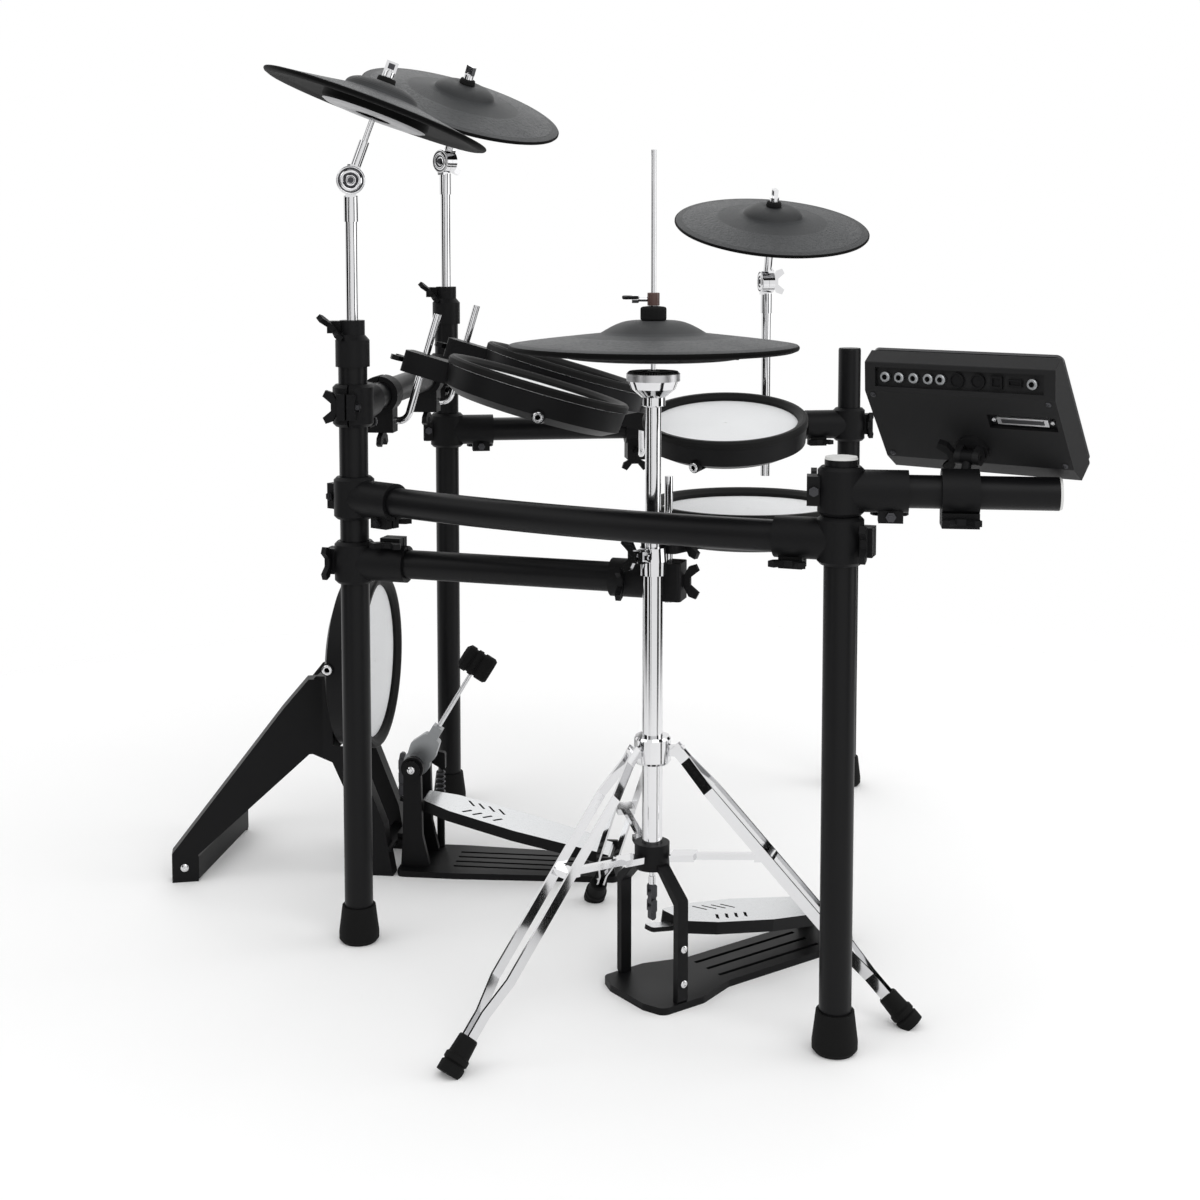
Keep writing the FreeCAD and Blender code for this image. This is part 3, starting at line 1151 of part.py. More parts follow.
def hat_pad():
    """The hi-hat pad with its felt and the clutch that grips the pull rod."""
    edge = HAT_PAD_D / 2
    rim = HAT_RIM_Z
    bore = HAT_ROD_D / 2 + FIT_GAP
    low = rim - HAT_BELLY_DROP
    top = rim + HAT_DOME_RISE
    pad = turned([(bore, low), (HAT_BELLY_FLOOR_D / 2, low), (HAT_BELLY_D / 2, low + 5), (edge - 30, rim - 9),
                  (edge - 4, rim - 7), (edge, rim - 4), (edge, rim), (edge - 60, rim + 8), (66, rim + 14),
                  (48, top - 5), (30, top), (bore, top)])
    felt = turned([(bore, top), (HAT_FELT_D / 2, top), (HAT_FELT_D / 2, top + HAT_FELT_HEIGHT - 3),
                   (HAT_FELT_D / 2 - 3, top + HAT_FELT_HEIGHT), (bore, top + HAT_FELT_HEIGHT)])
    clutch_low = top + HAT_FELT_HEIGHT
    clutch_r = HAT_CLUTCH_D / 2
    clutch = tube(UP * clutch_low, UP * (clutch_low + HAT_CLUTCH_HEIGHT), clutch_r, clutch_r - bore)
    seat = Vec(clutch_r, 0, clutch_low + HAT_CLUTCH_HEIGHT / 2)
    clutch = clutch.cut(cylinder(seat - RIGHT * clutch_r, seat + RIGHT, SCREW_D / 2 + FIT_GAP))
    screw = placed(wing_screw(clutch_r - bore, nut=False), seat, RIGHT, UP)
    return [placed(s, HAT, UP, heading(200)) for s in (pad, felt, clutch, screw)]


def hat_footboard():
    normal = UP * math.cos(math.radians(HAT_BOARD_ANGLE)) + HAT_DIR * math.sin(math.radians(HAT_BOARD_ANGLE))
    return placed(footboard(HAT_BOARD_LENGTH, HAT_TAB_REACH), HAT_HINGE, normal, HAT_DIR * -1)


def hat_chain():
    count = int((HAT_ROD_LOW_Z - HAT_CHAIN_LOW_Z) / LINK_PITCH)
    start = at_height(HAT, HAT_ROD_LOW_Z - LINK_DEPTH / 2 - FIT_GAP)
    points = [start - UP * (LINK_PITCH * i) for i in range(count)]
    return chain(points, HAT_SIDE)


# Sound module, on axes with its width along X, its panel's rise along Y and the panel facing Z
MODULE_CENTER = at_height(REAR_LEFT + MODULE_ARM_DIR * MODULE_ALONG_ARM + RIGHT * MODULE_ASIDE, MODULE_Z)
MODULE_ACROSS = heading(90 - MODULE_YAW)
MODULE_FACE = (heading(-MODULE_YAW) * math.sin(math.radians(MODULE_LEAN))
               + UP * math.cos(math.radians(MODULE_LEAN)))
MODULE_RISE = MODULE_FACE.cross(MODULE_ACROSS)
PANEL_Z = MODULE_DEPTH / 2
PIVOT_Y = -30.0
PIVOT_Z = -MODULE_DEPTH / 2 - MOUNT_PLATE_THICKNESS - MOUNT_KNUCKLE_D / 2 - 1


def module_placed(shape):
    return placed(shape, MODULE_CENTER, MODULE_FACE, MODULE_ACROSS)


def module_point(x, y, z):
    return MODULE_CENTER + MODULE_ACROSS * x + MODULE_RISE * y + MODULE_FACE * z


def across_plate(outline, radius, low, high):
    """A (y, z) outline on the module's axes, extruded along its width."""
    return placed(plate(outline, radius, low, high), ORIGIN, RIGHT, AWAY)


SOCKET_NORMAL = Vec(0, MODULE_DEPTH / 2 - MODULE_EDGE, -MODULE_BEVEL).normalize()
SOCKET_ROW = Vec(0, MODULE_HEIGHT / 2 - MODULE_BEVEL / 2, -(MODULE_DEPTH / 2 + MODULE_EDGE) / 2)


def socket_placed(shape, x):
    return placed(shape, SOCKET_ROW + RIGHT * x, SOCKET_NORMAL, RIGHT)


def module_case():
    half = MODULE_HEIGHT / 2
    wide = MODULE_WIDTH / 2
    front = PANEL_Z - PANEL_THICKNESS
    back = -MODULE_DEPTH / 2
    case = across_plate([(-half, front), (half, front), (half, -MODULE_EDGE), (half - MODULE_BEVEL, back),
                         (-half + MODULE_LOW_BEVEL, back), (-half, front - MODULE_LOW_DEPTH)], 2, -wide, wide)
    row = SOCKET_ROW_HALF_WIDTH
    tall = SOCKET_ROW_HALF_HEIGHT
    recess = socket_placed(block((-row, row), (-tall, tall), (-SOCKET_RECESS, 10)), 0)
    pins = MULTIPIN_WIDTH / 2
    rise = MULTIPIN_HEIGHT / 2
    margin = MULTIPIN_MARGIN
    wide_port = (-pins - margin, pins + margin)
    port = block(wide_port, (-rise - margin / 2, rise + margin / 2), (back - 1, back + MULTIPIN_DEPTH))
    plug = block((-pins, pins), (-rise, rise), (back + 2, back + MULTIPIN_DEPTH + 1))
    port.translate(Vec(MULTIPIN_PLACE, MULTIPIN_RISE, 0))
    plug.translate(Vec(MULTIPIN_PLACE, MULTIPIN_RISE, 0))
    pivot = Vec(0, PIVOT_Y, PIVOT_Z)
    seat = Vec(0, PIVOT_Y, back)
    bracket_plate = cylinder(seat - UP * MOUNT_PLATE_THICKNESS, seat, MOUNT_PLATE_D / 2)
    ears = []
    for side in (-1, 1):
        low, high = sorted((side * (MOUNT_KNUCKLE_WIDTH / 2 + FIT_GAP), side * (MOUNT_KNUCKLE_WIDTH / 2 + 8)))
        ears.append(cylinder(pivot + RIGHT * low, pivot + RIGHT * high, MOUNT_KNUCKLE_D / 2))
        ears.append(block((low, high), (PIVOT_Y - MOUNT_KNUCKLE_D / 2, PIVOT_Y + MOUNT_KNUCKLE_D / 2),
                          (PIVOT_Z, back - MOUNT_PLATE_THICKNESS + 1)))
    bore = cylinder(pivot - RIGHT * 60, pivot + RIGHT * 60, HINGE_PIN_D / 2 + FIT_GAP)
    body = case.cut([recess, port]).fuse(plug)
    bracket = bracket_plate.fuse(ears).cut(bore)
    return [module_placed(s) for s in (body, bracket.removeSplitter())]


def module_panel():
    half = MODULE_HEIGHT / 2
    wide = MODULE_WIDTH / 2
    low = PANEL_Z - PANEL_THICKNESS
    panel = plate([(-wide, -half), (wide, -half), (wide, half), (-wide, half)], 8, low, PANEL_Z)
    hole = BUTTON_SIZE / 2 + BUTTON_GAP
    x, y = BUTTON_AT
    cuts = [block((x - hole, x + hole), (y - hole, y + hole), (low - 1, PANEL_Z + 1))]
    for x, y in (KNOB_AT, DIAL_AT):
        cuts.append(cylinder(Vec(x, y, low), Vec(x, y, PANEL_Z + 1), HINGE_PIN_D / 2 + FIT_GAP))
    return module_placed(panel.cut(cuts))


def turning_knob(place, diameter, height):
    x, y = place
    low = PANEL_Z + FIT_GAP
    radius = diameter / 2
    top = low + height
    cap = turned([(0, low), (radius, low), (radius - 1, top - 1.5), (radius - 2.5, top), (0, top)])
    grips = []
    for step in range(8):
        away = heading(step * 45)
        at = away * (radius + 1.2)
        grips.append(cylinder(at + UP * (low + 2), at + UP * (top + 1), 2.4))
    stub = cylinder(UP * (PANEL_Z - PANEL_THICKNESS + FIT_GAP), UP * (low + 1), HINGE_PIN_D / 2)
    knob = cap.cut(grips).fuse(stub)
    return module_placed(placed(knob, Vec(x, y, 0)))


def start_button():
    x, y = BUTTON_AT
    half = BUTTON_SIZE / 2
    low = PANEL_Z - PANEL_THICKNESS + BUTTON_TRAVEL + FIT_GAP
    key = plate([(x - half, y - half), (x + half, y - half), (x + half, y + half), (x - half, y + half)], 1.5,
                low, low + BUTTON_HEIGHT)
    return module_placed(key)


def module_sockets():
    """Ring jacks, round multi-pin sockets, a square port and a slot along the recess."""
    floor = -SOCKET_RECESS
    solids = []
    for x in JACK_PLACES:
        outer = RING_JACK_D / 2
        bore = JACK_D / 2
        ring = turned([(bore, floor + 1), (bore, floor + 6), (outer - 1, floor + 6), (outer, floor + 5),
                       (outer, floor), (0, floor), (0, floor + 1)])
        solids.append(socket_placed(ring, x))
    for x in ROUND_SOCKET_PLACES:
        outer = ROUND_SOCKET_D / 2
        inner = outer - 1.5
        cup = turned([(inner, floor + 1.5), (inner, floor + 3), (outer, floor + 3), (outer, floor),
                      (0, floor), (0, floor + 1.5)])
        solids.append(socket_placed(cup, x))
    port = block((-7, 7), (-7, 7), (floor, floor + 3))
    port = port.cut(block((-4.5, 4.5), (-4.5, 4.5), (floor + 1, floor + 4)))
    solids.append(socket_placed(port, PORT_PLACE))
    slot = block((-8, 8), (-4, 4), (floor, floor + 3))
    slot = slot.cut(block((-6.5, 6.5), (-2.2, 2.2), (floor + 1, floor + 4)))
    solids.append(socket_placed(slot, SLOT_PLACE))
    return [module_placed(s) for s in solids]


def module_mount():
    """The ring on the module arm, its stem and the knuckle with the tilt pin and lever."""
    pivot = module_point(0, PIVOT_Y, PIVOT_Z)
    aside = (pivot.x - REAR_LEFT.x) * MODULE_ACROSS.x / MODULE_ACROSS.y
    ring_at = Vec(REAR_LEFT.x, pivot.y + aside, MODULE_ARM_Z)
    outer = BORE_R + CLAMP_WALL
    half = MOUNT_RING_WIDTH / 2
    bore = cylinder(ring_at - AWAY * 60, ring_at + AWAY * 60, BORE_R)
    ring = cylinder(ring_at - AWAY * half, ring_at + AWAY * half, outer)
    stem = cylinder(ring_at + (pivot - ring_at).normalize() * (BORE_R + 3), pivot, MOUNT_STEM_D / 2)
    reach = MOUNT_KNUCKLE_WIDTH / 2
    knuckle = cylinder(pivot - MODULE_ACROSS * reach, pivot + MODULE_ACROSS * reach, MOUNT_KNUCKLE_D / 2)
    pin_end = reach + 8 + FIT_GAP
    pin = cylinder(pivot - MODULE_ACROSS * pin_end, pivot + MODULE_ACROSS * (pin_end + 3), HINGE_PIN_D / 2)
    lever = placed(wing_screw(2, nut=False), pivot + MODULE_ACROSS * pin_end, MODULE_ACROSS, MODULE_RISE)
    lug = block((-20, 20), (-half, half), (-outer - 12, -BORE_R - 2))
    lug = placed(lug, ring_at)
    slit = placed(block((-SLIT / 2, SLIT / 2), (-60, 60), (-80, 0)), ring_at)
    hole_at = ring_at - UP * (outer + 3)
    hole = cylinder(hole_at - RIGHT * 60, hole_at + RIGHT * 60, SCREW_D / 2 + FIT_GAP)
    body = fused(ring, stem, lug).cut([bore, slit, hole])
    screw = placed(wing_screw(40), hole_at - RIGHT * 20, RIGHT * -1, AWAY)
    return [fused(body, knuckle, pin, lever), screw]


# Groups of tubes and clamps
def front_clamps():
    solids = joint_clamp(at_height(FRONT_LEFT, FRONT_BAR_Z), RIGHT)
    solids += joint_clamp(at_height(FRONT_RIGHT, FRONT_BAR_Z), RIGHT * -1)
    for x in (TOM_1_X, TOM_2_X):
        solids += [placed(s, Vec(x, FRONT_Y, FRONT_BAR_Z)) for s in rod_clamp(PAD_ROD_D / 2, AWAY, ROD_DROP)]
    return solids


def left_clamps():
    return (joint_clamp(at_height(FRONT_LEFT, LEFT_BAR_Z), LEFT_BAR_START)
            + joint_clamp(at_height(REAR_LEFT, LEFT_BAR_Z), LEFT_BAR_END)
            + joint_clamp(at_height(REAR_LEFT, MODULE_ARM_Z), MODULE_ARM_DIR))


def module_arm():
    start = at_height(REAR_LEFT, MODULE_ARM_Z)
    end = start + MODULE_ARM_DIR * MODULE_ARM_LENGTH
    return [straight_bar(start, MODULE_ARM_DIR, MODULE_ARM_LENGTH, 0), end_plug(end, MODULE_ARM_DIR)]


def right_clamps():
    solids = joint_clamp(at_height(FRONT_RIGHT, RIGHT_BAR_Z), RIGHT_DIR)
    solids += joint_clamp(at_height(REAR_RIGHT, RIGHT_BAR_Z), RIGHT_DIR * -1)
    ride_at = at_height(FRONT_RIGHT + RIGHT_DIR * RIDE_ALONG_BAR, RIGHT_BAR_Z)
    ride_clamp = rod_clamp(BOOM_D / 2, AWAY, RIDE_OFFSET)
    solids += [placed(s, ride_at, RIGHT_OUT * -1, RIGHT_DIR) for s in ride_clamp]
    tom_clamp = rod_clamp(PAD_ROD_D / 2, AWAY, ROD_DROP)
    solids += [placed(s, FLOOR_TOM_CLAMP, UP, RIGHT_DIR) for s in tom_clamp]
    return solids


def cymbal(name, foot, low_z, pivot_z, tilt, toward, diameter):
    return {name + "_boom": boom(foot, low_z, pivot_z, toward),
            name + "_tilter": tilter(foot, pivot_z, tilt, toward),
            name + "_pad": cymbal_pad(foot, pivot_z, tilt, toward, diameter)}


def build():
    nodes = {
        "front_posts": [post(FRONT_LEFT, FRONT_LEFT_POST_TOP), post(FRONT_RIGHT, FRONT_RIGHT_POST_TOP)],
        "front_bar": straight_bar(at_height(FRONT_LEFT, FRONT_BAR_Z), RIGHT, FRONT_SPAN, BAR_SETBACK),
        "front_clamps": front_clamps(),
        "boom_holders": (boom_holder(FRONT_LEFT, FRONT_LEFT_POST_TOP)
                         + boom_holder(FRONT_RIGHT, FRONT_RIGHT_POST_TOP)),
        "front_feet": [post_foot(FRONT_LEFT), post_foot(FRONT_RIGHT)],
        "tom_rods": [tom_rod(TOM_1_X), tom_rod(TOM_2_X)],
        "left_bar": bowed_bar(),
        "left_clamps": left_clamps(),
        "rear_left_post": [post(REAR_LEFT, REAR_LEFT_POST_TOP),
                           end_plug(at_height(REAR_LEFT, REAR_LEFT_POST_TOP), UP)],
        "rear_left_foot": post_foot(REAR_LEFT),
        "module_arm": module_arm(),
        "module_mount": module_mount(),
        "right_bar": straight_bar(at_height(FRONT_RIGHT, RIGHT_BAR_Z), RIGHT_DIR, WING_LENGTH, BAR_SETBACK),
        "right_clamps": right_clamps(),
        "rear_right_post": [post(REAR_RIGHT, REAR_RIGHT_POST_TOP),
                            end_plug(at_height(REAR_RIGHT, REAR_RIGHT_POST_TOP), UP)],
        "rear_right_foot": post_foot(REAR_RIGHT),
        "floor_tom_rod": floor_tom_rod(),
        "snare_arm_tube": straight_bar(at_height(FRONT_LEFT, SNARE_ARM_Z), SNARE_DIR, SNARE_ARM_LENGTH, 0),
        "snare_arm_clamps": (joint_clamp(at_height(FRONT_LEFT, SNARE_ARM_Z), SNARE_DIR, UP * -1)
                             + snare_end_clamp()),
        "snare_rod": snare_rod(),
        "kick_tower": kick_tower(),
        "kick_pedal_base": kick_base(),
        "kick_footboard": kick_footboard(),
        "kick_beater": kick_beater(),
        "kick_chain": kick_chain(),
        "kick_spring": kick_spring(),
        "hihat_pedal_frame": hat_frame(),
        "hihat_lower_tube": hat_lower_tube(),
        "hihat_legs": [s for angle in LEG_HEADINGS for s in hat_leg(angle)],
        "hihat_feet": [hat_foot(angle) for angle in LEG_HEADINGS],
        "hihat_upper_tube": hat_upper_tube(),
        "hihat_pull_rod": hat_pull_rod(),
        "hihat_pad": hat_pad(),
        "hihat_footboard": hat_footboard(),
        "hihat_chain": hat_chain(),
        "module_case": module_case(),
        "module_panel": module_panel(),
        "module_sockets": module_sockets(),
        "volume_knob": turning_knob(KNOB_AT, KNOB_D, KNOB_HEIGHT),
        "data_dial": turning_knob(DIAL_AT, DIAL_D, DIAL_HEIGHT),
        "start_button": start_button(),
    }
    nodes["kick_pad_shell"], nodes["kick_pad_head"] = kick_pad()
    nodes["tom_1_shell"], nodes["tom_1_head"] = tom(TOM_1_X)
    nodes["tom_2_shell"], nodes["tom_2_head"] = tom(TOM_2_X)
    nodes["floor_tom_shell"], nodes["floor_tom_head"] = floor_tom()
    nodes["snare_shell"], nodes["snare_head"] = snare()
    nodes.update(cymbal("crash_1", FRONT_LEFT, FRONT_LEFT_POST_TOP - BOOM_BURIED, CRASH_1_TILTER_Z,
                        CRASH_1_TILT, CRASH_1_TILT_HEADING, SMALL_CYMBAL_D))
    nodes.update(cymbal("crash_2", FRONT_RIGHT, FRONT_RIGHT_POST_TOP - BOOM_BURIED, CRASH_2_TILTER_Z,
                        CRASH_2_TILT, CRASH_2_TILT_HEADING, CYMBAL_D))
    nodes.update(cymbal("ride", RIDE_FOOT, RIDE_BOOM_LOW_Z, RIDE_TILTER_Z,
                        RIDE_TILT, RIDE_TILT_HEADING, CYMBAL_D))
    return nodes


def main():
    os.makedirs("parts", exist_ok=True)
    for name, solids in build().items():
        shape = Part.makeCompound(solids) if isinstance(solids, list) else solids
        shape.exportStep("parts/" + name + ".step")
    print("least gap between the spring's curls:", round(coil_gap(), 2), "mm")


if __name__ == "__main__":
    main()
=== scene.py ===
import json
import math

import bpy
import numpy as np
from mathutils import Matrix, Vector


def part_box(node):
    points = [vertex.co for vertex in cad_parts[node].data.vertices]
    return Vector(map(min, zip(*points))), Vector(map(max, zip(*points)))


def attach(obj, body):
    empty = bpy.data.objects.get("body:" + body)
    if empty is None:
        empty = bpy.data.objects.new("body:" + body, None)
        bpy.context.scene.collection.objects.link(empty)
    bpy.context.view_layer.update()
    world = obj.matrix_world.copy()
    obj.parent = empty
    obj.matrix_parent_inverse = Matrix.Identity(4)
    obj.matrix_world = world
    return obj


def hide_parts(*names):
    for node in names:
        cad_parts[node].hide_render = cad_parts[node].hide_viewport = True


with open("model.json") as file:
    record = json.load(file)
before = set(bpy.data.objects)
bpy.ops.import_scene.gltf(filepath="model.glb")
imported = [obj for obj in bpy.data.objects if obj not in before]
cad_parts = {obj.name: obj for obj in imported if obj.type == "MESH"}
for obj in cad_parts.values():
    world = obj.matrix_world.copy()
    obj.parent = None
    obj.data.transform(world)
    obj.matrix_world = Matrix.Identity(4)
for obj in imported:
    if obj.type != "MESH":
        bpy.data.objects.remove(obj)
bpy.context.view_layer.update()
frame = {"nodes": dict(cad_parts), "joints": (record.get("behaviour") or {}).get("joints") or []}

bl_info = {
    "name": "Electronic drum kit finish",
    "version": (1, 0, 0),
    "blender": (4, 5, 0),
    "location": "View3D > Sidebar > Drum kit",
    "description": "Finishes, soft pieces and studio for an electronic drum kit",
    "category": "Object",
}

NODES = frame["nodes"]
JOINTS = {joint["name"]: joint for joint in frame["joints"]}
UP = Vector((0, 0, 1))
RIGHT = Vector((1, 0, 0))

TUBES = ("front_posts", "front_bar", "left_bar", "right_bar", "rear_left_post", "rear_right_post",
         "module_arm", "snare_arm_tube")
CLAMPS = ("front_clamps", "boom_holders", "left_clamps", "right_clamps", "snare_arm_clamps", "module_mount")
POST_FEET = ("front_feet", "rear_left_foot", "rear_right_foot")
CHROMED = ("tom_rods", "floor_tom_rod", "snare_rod", "crash_1_boom", "crash_1_tilter", "crash_2_boom",
           "crash_2_tilter", "ride_boom", "ride_tilter", "hihat_lower_tube", "hihat_legs", "hihat_pull_rod")
DRUMS = ("tom_1", "tom_2", "floor_tom", "snare")
CYMBALS = ("crash_1", "crash_2", "ride")

# Angles of the CAD pieces that the finishes follow, in radians

BAR_BOW = math.radians(9.0)
TOE_SPLAY = math.radians(17.4)
KICK_SLOPE = math.radians(13.9)
HIHAT_SLOPE = math.radians(9.6)
BEATER_LEAN = math.radians(31)

# Places on the rack and the plated pieces, in metres, with nuts from the centre of their clamp

END_PLUG = 0.0031
NUT_PLACES = ((-0.03085, 0.0), (0.056, -0.02775))
NUT_REACH = 0.0064
NUT_FACE = -0.01205
NUT_END = -0.0185
HIHAT_SEAT = 0.0121
HIHAT_PUCK = 0.0015
TILTER_REACH = 0.04
TILTER_FACE = 0.0102
WING_FACE = 0.0035
# Dark blocks painted as shade in the windows of the tilters' nut wings
HOLE_SHADE_DROP = 0.0065
HOLE_SHADE = (0.0075, 0.0085, 0.0007)

# Cymbal pads, in metres

PAD_BELOW_ROCK = 0.021
PAD_HOLE = 0.007
BELL_RADIUS = 0.050
BELL_RISE = 0.016
BOW_RISE = 0.018
CAN_RADIUS = 0.073
CAN_MOUTH = 0.024
BAND_REACH = 0.075
BAND_MARGIN = 0.015
NO_BAND = (0.5, 0.6)
HIHAT_DEPTH = 0.016
HIHAT_EDGE = 0.178
HIHAT_HOLE = 0.0035
HIHAT_TOP = 0.030
HIHAT_BAND = (0.095, 0.163)
RIBS = 20
RIB = (0.022, 0.002, 0.005)
RIB_OUT = 0.122
RIB_BELOW = 0.0122
CLUTCH_HEADING = math.radians(97)
CLUTCH_RADIUS = 0.0075
CLUTCH_FOOT = 0.0482
CLUTCH_TOP = 0.064
CLUTCH_SCREW = 0.056
CLUTCH_WING = (0.019, 0.009, 0.0042)

# Drum pads, in metres

HEAD_RADIUS = 0.127
RIM_REACH = 0.1305
ARM_REACH = 0.172
JACK_OUT = 0.128
JACK_BACK = 0.030
JACK_BELOW = 0.0305
KICK_JACK_AHEAD = 0.012
KICK_JACK_RISE = 0.015

# Pedals and kick tower, in metres

BOLT_HEIGHTS = (0.034, 0.078)
FRAME_FOOT = 0.03
FRAME_TOP = 0.14
FRAME_HALF = 0.03
ROD_START = 0.066
ROD_REACH = 0.0045
ROD_END = 0.188
BEATER_HEAD = 0.150
AXLE_END = 0.0385
TOE_BACK = 0.008
TOE_BOLT_HEIGHT = 0.022
TOE_BOLT_BACK = 0.018

# Sound module, from the middle of its panel, in metres

SOCKET_SLOPE = (18.5, 28.0)
SOCKET_RING = 0.0028
PLUG_X = -0.069
PLUG_Y = 0.014
PLUG_HALF = (0.0305, 0.0055)
PLUG_PINS = (0.050, 0.0052, 0.0008)
PLUG_FLOOR = 0.036
PLUG_FRONT = 0.041
POST_OFFSET = 0.0345
CASE_BACK = 0.0430
CASE_SCREWS = ((-0.106, -0.046), (0.106, -0.046), (-0.106, 0.044), (0.106, 0.044))
SCREEN_AT = (0.014, 0.024)
SCREEN_BEZEL = (0.080, 0.046, 0.0012)
SCREEN_GLASS = (0.072, 0.038, 0.0006)
KEY = (0.014, 0.009, 0.0026)
KEY_ROWS = (-0.018, -0.042)
KEY_START = 0.034
KEY_PITCH = 0.021
KEY_LAMP = (0.003, 0.003, 0.0009)
KEY_LAMP_ABOVE = 0.0085

# Studio, in metres and degrees

FLOOR_MIDDLE = Vector((-0.1, -0.1, 0))
CARD_DISTANCE = 3.4
CARD_MIDDLE = 1.0
CARD_HALF = 1.7
CARDS = ((152, 0.5), (171, 0.13), (244, 0.6), (108, 1.3), (302, 1.5))
LIT_POINT = Vector((0, -0.1, 0.6))
LIGHTS = (("key_light", (-2.4, -1.6, 3.0), 2.2, 1.0), ("fill_light", (-2.0, 2.6, 2.2), 2.4, 0.55),
          ("rim_light", (2.6, 0.6, 2.8), 2.2, 0.6), ("player_light", (0.2, -3.2, 1.3), 2.4, 1.0))


# What a user would change

def colour_field(name, description, default):
    return bpy.props.FloatVectorProperty(name=name, description=description, subtype="COLOR", size=3,
                                         min=0, max=1, default=default)


def length_field(name, description, default, low, high):
    return bpy.props.FloatProperty(name=name, description=description, unit="LENGTH", precision=4,
                                   default=default, min=low, max=high)


class KitColours(bpy.types.PropertyGroup):
    tube: colour_field("Tube paint", "Satin paint of tubes and folded sheet", (0.0045, 0.0045, 0.005))
    plastic: colour_field("Moulded plastic", "Clamps and drum shells", (0.0050, 0.0050, 0.0055))
    rubber: colour_field("Foot rubber", "Feet, rims and beater", (0.0055, 0.0055, 0.0055))
    cymbal: colour_field("Cymbal rubber", "Upper skin of the cymbal pads", (0.030, 0.032, 0.034))
    mesh: colour_field("Mesh head", "Woven drum heads", (0.93, 0.94, 0.95))
    chrome: colour_field("Chrome", "Plated tubes and fittings", (0.72, 0.72, 0.73))
    treadle: colour_field("Footboard metal", "Brushed treads of both pedals", (0.66, 0.67, 0.68))


class KitSizes(bpy.types.PropertyGroup):
    """Sizes of the pieces that are made here."""
    head_dome: length_field("Head crown", "How far a mesh head rises at its middle", 0.0006, 0, 0.003)
    thread_pitch: length_field("Weave pitch", "Distance between threads of a head", 0.0011, 0.0004, 0.004)
    edge_softness: length_field("Edge softness", "Rounding of moulded edges", 0.0007, 0, 0.003)
    jack_nut: length_field("Jack nut", "Outer diameter of a jack's nut", 0.015, 0.008, 0.02)


class KitStudio(bpy.types.PropertyGroup):
    """Camera, light and floor."""
    camera_place: bpy.props.FloatVectorProperty(
        name="Camera", description="Where the camera stands", subtype="TRANSLATION", unit="LENGTH", size=3,
        default=(-2.5845, -0.4327, 0.9562))
    camera_turn: bpy.props.FloatProperty(
        name="Heading", description="Heading of the camera from +X", subtype="ANGLE",
        default=math.radians(6.94))
    camera_pitch: bpy.props.FloatProperty(
        name="Pitch", description="How far the camera looks down", subtype="ANGLE",
        default=math.radians(4.87))
    lens: bpy.props.FloatProperty(
        name="Lens", description="Focal length in millimetres on a 36 mm sensor",
        default=53.39, min=10, max=300)
    lens_shift: bpy.props.FloatProperty(
        name="Shift", description="Vertical lens shift", default=-0.18, min=-1, max=1)
    key_power: bpy.props.FloatProperty(
        name="Key light", description="Power of the main soft light", unit="POWER", default=24.0, min=0)
    sky: bpy.props.FloatProperty(
        name="Sky", description="Strength of the even light all round", default=0.86, min=0)
    floor_start: length_field("Floor", "Radius within which the floor is whole", 1.1, 0.1, 10)
    floor_end: length_field("Floor's end", "Radius at which the floor has faded out", 2.2, 0.2, 10)


def colours():
    return bpy.context.scene.kit_colours


def sizes():
    return bpy.context.scene.kit_sizes


# Shader nodes

def feed(tree, socket, value):
    """Links another node's output to a socket, or puts a constant on it."""
    if isinstance(value, bpy.types.NodeSocket):
        tree.links.new(value, socket)
    else:
        socket.default_value = value


def add_node(tree, kind, **inputs):
    node = tree.nodes.new(kind)
    for name, value in inputs.items():
        feed(tree, node.inputs[name.replace("_", " ")], value)
    return node


def operation_node(tree, kind, operation, values):
    node = tree.nodes.new(kind)
    node.operation = operation
    for socket, value in zip(node.inputs, values):
        feed(tree, socket, value)
    return node


def math_node(tree, operation, *values):
    return operation_node(tree, "ShaderNodeMath", operation, values).outputs[0]


def vector_node(tree, operation, *values):
    return operation_node(tree, "ShaderNodeVectorMath", operation, values)


def object_place(tree):
    return tree.nodes.new("ShaderNodeTexCoord").outputs["Object"]


def noise(tree, place, scale, detail, roughness):
    node = add_node(tree, "ShaderNodeTexNoise", Vector=place, Scale=scale, Detail=detail, Roughness=roughness)
    return node.outputs["Fac"]


def span(tree, value, low, high, start=0.0, end=1.0, blend="LINEAR"):
    """A value from start to end, mapped between two sockets or numbers."""
    node = add_node(tree, "ShaderNodeMapRange", Value=value, From_Min=start, From_Max=end,
                    To_Min=low, To_Max=high)
    node.interpolation_type = blend
    return node.outputs["Result"]


def band_edge(tree, radius, start, width):
    """A soft step from zero to one where a radius passes the start of a band."""
    return span(tree, radius, 0.0, 1.0, start, math_node(tree, "ADD", start, width), "SMOOTHSTEP")


def half_wave(tree, kind, angle):
    """A sine or cosine between zero and one."""
    return math_node(tree, "MULTIPLY", math_node(tree, "ADD", math_node(tree, kind, angle), 1.0), 0.5)


def tinted(tree, colour, amount):
    """A colour made darker or lighter by a changing factor."""
    node = vector_node(tree, "SCALE", colour)
    feed(tree, node.inputs["Scale"], amount)
    return node.outputs["Vector"]


# Shader node groups of the finishes

SOCKETS = {3: "NodeSocketVector", 4: "NodeSocketColor"}


